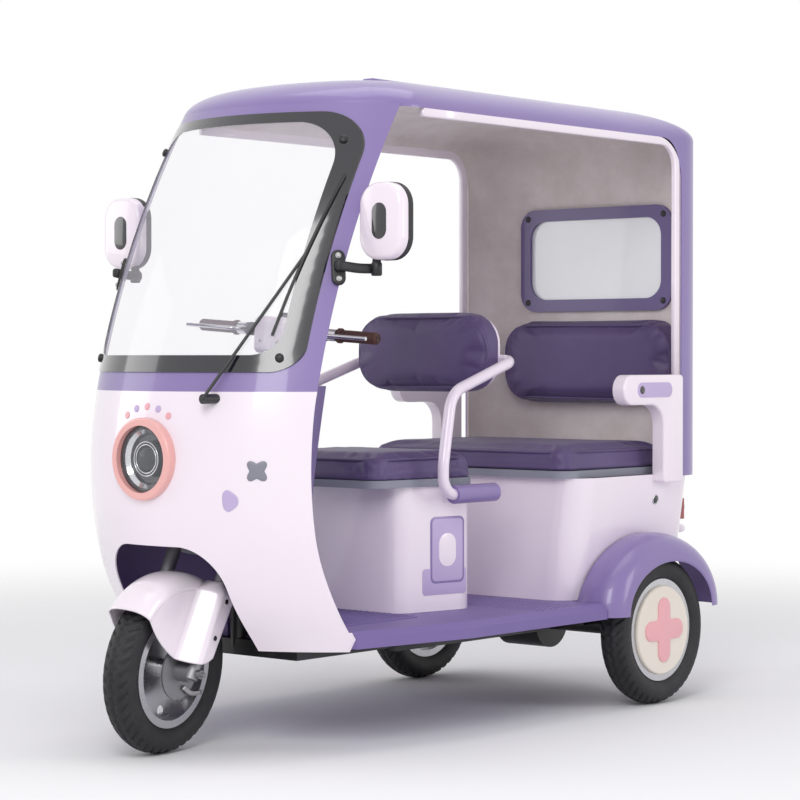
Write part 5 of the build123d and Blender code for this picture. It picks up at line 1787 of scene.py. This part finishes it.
@dataclass(frozen=True)
class FrontFender:
    """Crowned hood with side sheets that swell into the leg covers, in place of the plain fender.

    The hood is x = w sin s, r = r0 - d (1 - cos s)^1.2 over the angles before and behind the axle. A side
    sheet is ruled from the hood's edge to its lower edge, and swells outward by b S(q), where q is the
    distance ahead of the fork leg and S a smooth step.
    """

    steering: SteeringLine
    axle_y: float = -0.88
    axle_z: float = 0.2085
    half: float = 0.061
    crown: float = 0.2385
    drop: float = 0.036
    tip: float = math.radians(47)
    tail: float = math.radians(-43)
    side_tail: float = math.radians(-33)
    roundness: float = 1.2
    swell: float = 0.056
    swell_from: float = 0.058
    swell_over: float = 0.040
    cap_rise: float = 0.030
    cap_inset: float = 0.002
    cap_lean: float = 0.012
    cap_slope: tuple[float, float] = (0.42, 0.9)
    back_lap: float = 0.004
    wall: float = 0.003

    def build(self, kit: Kit) -> None:
        """Makes the hood and both side sheets as one piece.

        Args:
            kit: the tricycle's finishes.
        """
        pieces = [self._hood()] + [self._side(sign) for sign in (-1, 1)]
        piece = self.steering.park(merged("front_fender_skin", pieces))
        wall = piece.modifiers.new("wall", "SOLIDIFY")
        wall.thickness = self.wall
        wall.offset = 0.0
        finish_piece(piece, kit["pearl_white_abs"], Body.STEERING)
        shade(piece, True)
        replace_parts(piece, "front_fender")

    def _polar(self, across: Array, turn: Array, reach: Array) -> Array:
        """Points from x, the angle ahead of straight up and the distance from the axle."""
        back, up = self.axle_y - reach * np.sin(turn), self.axle_z + reach * np.cos(turn)
        return np.stack([across, back, up], axis=-1)

    def _hood(self) -> Object:
        """Crowned band over the tyre.

        Returns:
            The hood.
        """
        turn = np.linspace(self.tip, self.tail, 61)[:, None]
        lean = np.linspace(-math.pi / 2, math.pi / 2, 33)[None, :]
        reach = self.crown - self.drop * (1 - np.cos(lean)) ** self.roundness + 0 * turn
        across = self.half * np.sin(lean) + 0 * turn
        return grid_object("hood", self._polar(across, turn + 0 * lean, reach))

    def _side(self, sign: int) -> Object:
        """Side sheet with its swelling round the fork leg.

        Args:
            sign: one for the left side, minus one for the right.

        Returns:
            The sheet.
        """
        edge = self.crown - self.drop
        share = np.linspace(0, 1, 71)
        top_turn = self.tip + (self.side_tail - self.tip) * share
        top = edge * np.stack([np.sin(top_turn), np.cos(top_turn)], axis=1)
        low = smooth_path(self._low_edge(), 71)[:, :2]
        down = np.linspace(0, 1, 41)[None, :, None]
        flat = top[:, None] * (1 - down) + low[:, None] * down
        rake = self.steering.rake
        ahead = flat[..., 0] * math.cos(rake) + flat[..., 1] * math.sin(rake)
        rise = smooth_step((self.swell_from - ahead) / self.swell_over)
        across = sign * (self.half + self.swell * rise)
        points = np.stack([across, self.axle_y - flat[..., 0], self.axle_z + flat[..., 1]], axis=-1)
        points = np.concatenate([self._cap(points[:, :1], rise[:, :1], sign), points], axis=1)
        back = points[-1:].copy()
        back[..., 0] = sign * (self.half + self.back_lap)
        points = np.concatenate([points, back], axis=0)
        if sign > 0:
            points = points[::-1]
        return grid_object("side", points)

    def _low_edge(self) -> Array:
        """Knots of a sheet's lower edge, as distances ahead of the axle and above it."""
        return np.array([(0.149, 0.139, 0), (0.128, 0.108, 0), (0.098, 0.076, 0), (0.062, 0.048, 0),
                         (0.030, 0.031, 0), (0.004, 0.027, 0), (-0.018, 0.030, 0), (-0.036, 0.037, 0)])

    def _cap(self, top: Array, rise: Array, sign: int) -> Array:
        """Two columns of points that close the swelling over the hood's edge.

        Args:
            top: the sheet's uppermost column of points.
            rise: share of the swelling at each point.
            sign: one for the left side, minus one for the right.

        Returns:
            The two columns, the inner one first.
        """
        lift = self.cap_rise * rise
        inner = top.copy()
        inner[..., 0] = sign * (self.half - self.cap_inset)
        behind, above = (share * lift for share in self.cap_slope)
        over = top + np.stack([-sign * self.cap_lean * rise, behind, above], axis=-1)
        inner = inner + np.stack([0 * lift, behind, above], axis=-1)
        return np.concatenate([inner, over], axis=1)


@dataclass(frozen=True)
class MirrorHeads:
    """Both mirrors: white faces with a dark inset, black back shells, glass, arms and pillar plates."""

    skin: FrontBody
    x: float = 0.455
    y: float = -0.565
    z: float = 1.302
    deep: float = 0.052
    wide: float = 0.136
    tall: float = 0.188
    corner: float = 0.056
    glass_size: Point = (0.112, 0.164, 0.046)
    inset_size: Point = (0.046, 0.088, 0.0229)
    face_depth: float = 0.030
    shell_depth: float = 0.0215
    arm_height: float = 1.188
    foot_x: float = 0.374
    foot_thick: float = 0.009
    bolt_shift: float = 0.029
    neck: float = 0.030

    def build(self, kit: Kit) -> None:
        """Makes both mirrors in place of the plain ones.

        Args:
            kit: the tricycle's finishes.
        """
        for sign, side in ((1, "left"), (-1, "right")):
            centre = np.array([sign * self.x, self.y, self.z])
            front = centre + np.array([0, -self.deep / 2, 0])
            rim = front + np.array([0, self.face_depth, 0])
            face = self._pad("mirror_face_" + side, (self.wide, self.tall, self.corner), rim, 1,
                             (self.face_depth, 0.012))
            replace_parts(fix(face, kit["pearl_white_abs"]), "mirror_" + side)
            size = (self.wide + 0.002, self.tall + 0.002, self.corner + 0.001)
            shell = self._pad("mirror_shell_" + side, size,
                              rim + np.array([0, 0.0005, 0]), -1, (self.shell_depth, 0.007))
            fix(shell, kit["black_pp"])
            glass = self._pad("mirror_glass_" + side, self.glass_size,
                              centre + np.array([0, self.deep / 2 - 0.0005, 0]), -1, (0.0012, 0.0006), 10)
            fix(glass, kit["chrome_plate"])
            inset = self._pad("mirror_inset_" + side, self.inset_size,
                              front + np.array([0, 0.0002, 0]), 1, (0.0012, 0.0006))
            fix(inset, kit["black_gloss_frit"])
            self._arm(kit, sign, side)

    def _pad(self, name: str, size: Point, centre: Array, facing: int, edge: tuple[float, float],
             steps: int = 12) -> Object:
        """Round-cornered pad that stands forward or back from an upright plane.

        Args:
            name: the pad's name.
            size: its width, height and corner radius.
            centre: the middle of its foot.
            facing: one for forward, minus one for back.
            edge: its thickness and bevel.
            steps: points along each corner.

        Returns:
            The pad.
        """
        return plate(name, rounded_box_profile(*size, steps), centre, (facing, 0, 0), (0, 0, 1), *edge)

    def _arm(self, kit: Kit, sign: int, side: str) -> None:
        """Black pillar plate with two bolts, the arm and its knuckle.

        Args:
            kit: the tricycle's finishes.
            sign: one for the left side, minus one for the right.
            side: the side's name.
        """
        root = self.skin.point(sign * self.foot_x, self.arm_height, 0.0045)
        way = self.skin.outward(sign * self.foot_x, self.arm_height)
        level = unit(np.cross(np.array([0.0, 0.0, 1.0]), way))
        up = np.cross(way, level)
        foot = plate("mirror_foot_" + side, rounded_box_profile(0.034, 0.088, 0.0165, 8), root,
                     tuple(level.tolist()), tuple(up.tolist()), self.foot_thick, 0.003)
        seat = root + way * self.foot_thick
        bolts = [bolt(f"foot_bolt_{k}", seat + up * shift, tuple(way.tolist()), 0.007, 0.005)
                 for k, shift in enumerate((-self.bolt_shift, self.bolt_shift))]
        elbow = np.array([sign * (self.x - self.neck), self.y, self.arm_height])
        run = np.array([root + way * 0.006, root + way * 0.020, (root + elbow) / 2 + np.array([0, 0.004, 0]),
                        elbow - np.array([sign * 0.012, 0.0, 0.0]), elbow])
        arm = carried("arm", smooth_path(run, 30), rounded_box_profile(0.024, 0.018, 0.007, 6), (0, 0, 1))
        post = turned("post", np.array([(-0.018, ON_AXLE), (-0.018, 0.011), (-0.015, 0.0135), (0.012, 0.0135),
                                        (0.015, 0.011), (0.032, 0.0095), (0.034, ON_AXLE)]),
                      tuple(elbow.tolist()), (0, 0, 1), 28)
        fix(merged("mirror_arm_" + side, [foot, arm, post]), kit["black_pp"])
        fix(merged("mirror_bolts_" + side, bolts), kit["zinc_bolt"])


@dataclass(frozen=True)
class SideTrims:
    """Door trims and armrests with round ends, in place of the plain trims."""

    x: float = 0.3905
    rear_y: float = 0.781
    eave: float = 1.5885
    front_y: float = -0.352
    low: float = 0.915
    corner: float = 0.074
    armrest_foot: float = 0.388
    armrest_wide: float = 0.040
    armrest_bevel: float = 0.007

    def build(self, kit: Kit) -> None:
        """Makes the trims of both sides.

        Args:
            kit: the tricycle's finishes.
        """
        arc = np.linspace(0, math.pi / 2, 13)
        bend = np.stack([self.rear_y - self.corner * (1 - np.cos(arc)),
                         self.eave - self.corner * (1 - np.sin(arc))], axis=1)
        run = np.vstack([[(self.rear_y, self.low), (self.rear_y, 1.2)], bend,
                         [(0.2, self.eave), (-0.2, self.eave), (self.front_y, self.eave)]])
        rest = rounded_outline([(0.476, 0.838), (0.672, 0.838), (0.672, 0.616), (0.770, 0.616), (0.770, 0.923),
                                (0.476, 0.923)], [0.0418, 0.060, 0.014, 0.014, 0.012, 0.0418])
        for sign, side in ((1, "left"), (-1, "right")):
            path = np.column_stack([np.full(len(run), sign * self.x), run])
            trim = carried("door_trim_" + side, path, rounded_box_profile(0.015, 0.026, 0.005, 5), (1, 0, 0))
            fix(trim, kit["pearl_white_abs"])
            if sign > 0:
                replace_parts(trim, "side_trims")
            flat = rest if sign > 0 else (rest * np.array([-1.0, 1.0]))[::-1]
            pad = plate("armrest_" + side, flat, (sign * self.armrest_foot, 0, 0), (0, sign, 0), (0, 0, 1),
                        self.armrest_wide, self.armrest_bevel)
            fix(pad, kit["pearl_white_abs"])


@dataclass
class Studio:
    """Camera, lamps, floor and background of the plain studio."""

    eye: Point = (4.293, -5.022, 0.97)
    heading: float = 40.4
    pitch: float = -0.993
    lens: float = 109.0
    key_power: float = 95.0
    fill_power: float = 34.0
    top_power: float = 40.0
    room_light: float = 0.6
    floor_half: float = 9.0
    floor_fade: tuple[float, float] = (1.6, 5.5)

    def build(self) -> None:
        """Makes the whole studio."""
        bpy.context.scene.view_settings.view_transform = "Standard"
        self._camera()
        self._lamp("key_softbox", (2.6, -4.2, 3.4), (0, 0, 0.8), self.key_power, (1.6, 2.6))
        self._lamp("fill_softbox", (-4.0, -3.0, 2.2), (0, 0, 0.8), self.fill_power, (2.4, 2.4))
        self._lamp("top_softbox", (0.2, 0.4, 4.6), (0, 0, 0.6), self.top_power, (3.0, 3.0))
        self._lamp("side_softbox", (4.6, 1.6, 2.0), (0, 0, 0.7), self.fill_power, (1.2, 2.4))
        self._world()
        self._floor()

    def _camera(self) -> None:
        """Camera at eye height, looking level and slightly down."""
        camera = bpy.data.objects.new("studio_camera", bpy.data.cameras.new("studio_camera"))
        camera.data.lens = self.lens
        camera.data.sensor_width = 36.0
        camera.data.clip_end = 60.0
        camera.location = self.eye
        camera.rotation_euler = (math.radians(90 + self.pitch), 0, math.radians(self.heading))
        bpy.context.scene.collection.objects.link(camera)
        bpy.context.scene.camera = camera

    def _lamp(self, name: str, place: Point, target: Point, power: float, size: tuple[float, float]) -> None:
        """Rectangular soft box aimed at a point.

        Args:
            name: the lamp's name.
            place: where it hangs.
            target: the point that it faces.
            power: its power in watts.
            size: its width and height.
        """
        lamp = bpy.data.lights.new(name, "AREA")
        lamp.shape = "RECTANGLE"
        lamp.size, lamp.size_y = size
        lamp.energy = power
        holder = bpy.data.objects.new(name, lamp)
        holder.location = place
        aim = Vector(target) - Vector(place)
        holder.rotation_euler = aim.to_track_quat("-Z", "Y").to_euler()
        bpy.context.scene.collection.objects.link(holder)

    def _world(self) -> None:
        """Even room light, seen as white by the eye, by reflections and through glass."""
        world = bpy.data.worlds.new("studio_room")
        bpy.context.scene.world = world
        world.use_nodes = True
        tree = world.node_tree
        tree.nodes.clear()
        seen = self._seen(tree)
        room = add(tree, "Background", {"Color": srgb("f4f3f6"), "Strength": self.room_light})
        white = add(tree, "Background", {"Color": (1, 1, 1, 1), "Strength": 1.0})
        both = add(tree, "MixShader", links={0: seen, 1: room.outputs[0], 2: white.outputs[0]})
        add(tree, "OutputWorld", links={"Surface": both.outputs[0]})

    def _seen(self, tree: bpy.types.NodeTree) -> bpy.types.NodeSocket:
        """Socket that is one for rays from the eye, from gloss and through glass.

        Args:
            tree: the node tree that gets the nodes.

        Returns:
            The node's output socket.
        """
        rays = add(tree, "LightPath")
        gloss = add(tree, "Math", {"operation": "MAXIMUM"},
                    {0: rays.outputs["Is Camera Ray"], 1: rays.outputs["Is Glossy Ray"]})
        every = add(tree, "Math", {"operation": "MAXIMUM"},
                    {0: gloss.outputs[0], 1: rays.outputs["Is Transmission Ray"]})
        return every.outputs[0]

    def _floor(self) -> None:
        """Pale floor that keeps the tricycle's shadow and fades into the white background."""
        reach = np.linspace(-self.floor_half, self.floor_half, 7)
        across, along = np.meshgrid(reach, reach, indexing="ij")
        points = np.stack([across, along, np.zeros_like(across)], axis=-1)
        floor = grid_object("studio_floor", points)
        material, tree = blank_material("pale_studio_floor")
        place = add(tree, "TexCoord").outputs["Object"]
        flat = add(tree, "VectorMath", {"operation": "MULTIPLY", 1: (1, 1, 0)}, {0: place})
        span = add(tree, "VectorMath", {"operation": "LENGTH"}, {0: flat.outputs[0]})
        near, far = self.floor_fade
        fade = add(tree, "MapRange", {"interpolation_type": "SMOOTHSTEP", "From Min": near, "From Max": far},
                   {"Value": span.outputs["Value"]})
        paper = add(tree, "BsdfDiffuse", {"Color": srgb("fbfbfc")})
        clear = add(tree, "BsdfTransparent")
        both = add(tree, "MixShader", links={0: fade.outputs[0], 1: paper.outputs[0], 2: clear.outputs[0]})
        add(tree, "OutputMaterial", links={"Surface": both.outputs[0]})
        floor.data.materials.append(material)


def main() -> None:
    """Builds the studio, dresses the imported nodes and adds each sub-assembly."""
    logging.basicConfig(level=logging.INFO, format="%(message)s")
    Studio().build()
    kit = Kit()
    PackedPanels(kit).build()
    steering = SteeringLine()
    skin = FrontBody()
    for part in (Wheels(steering), Upholstery(), Headlamp(), RearFenders(), HandControls(steering),
                 BodyTrim(skin), MirrorHeads(skin), Underbody(), FrontFender(steering), ForkTrim(steering),
                 SideTrims()):
        part.build(kit)


if __name__ == "__main__":
    main()
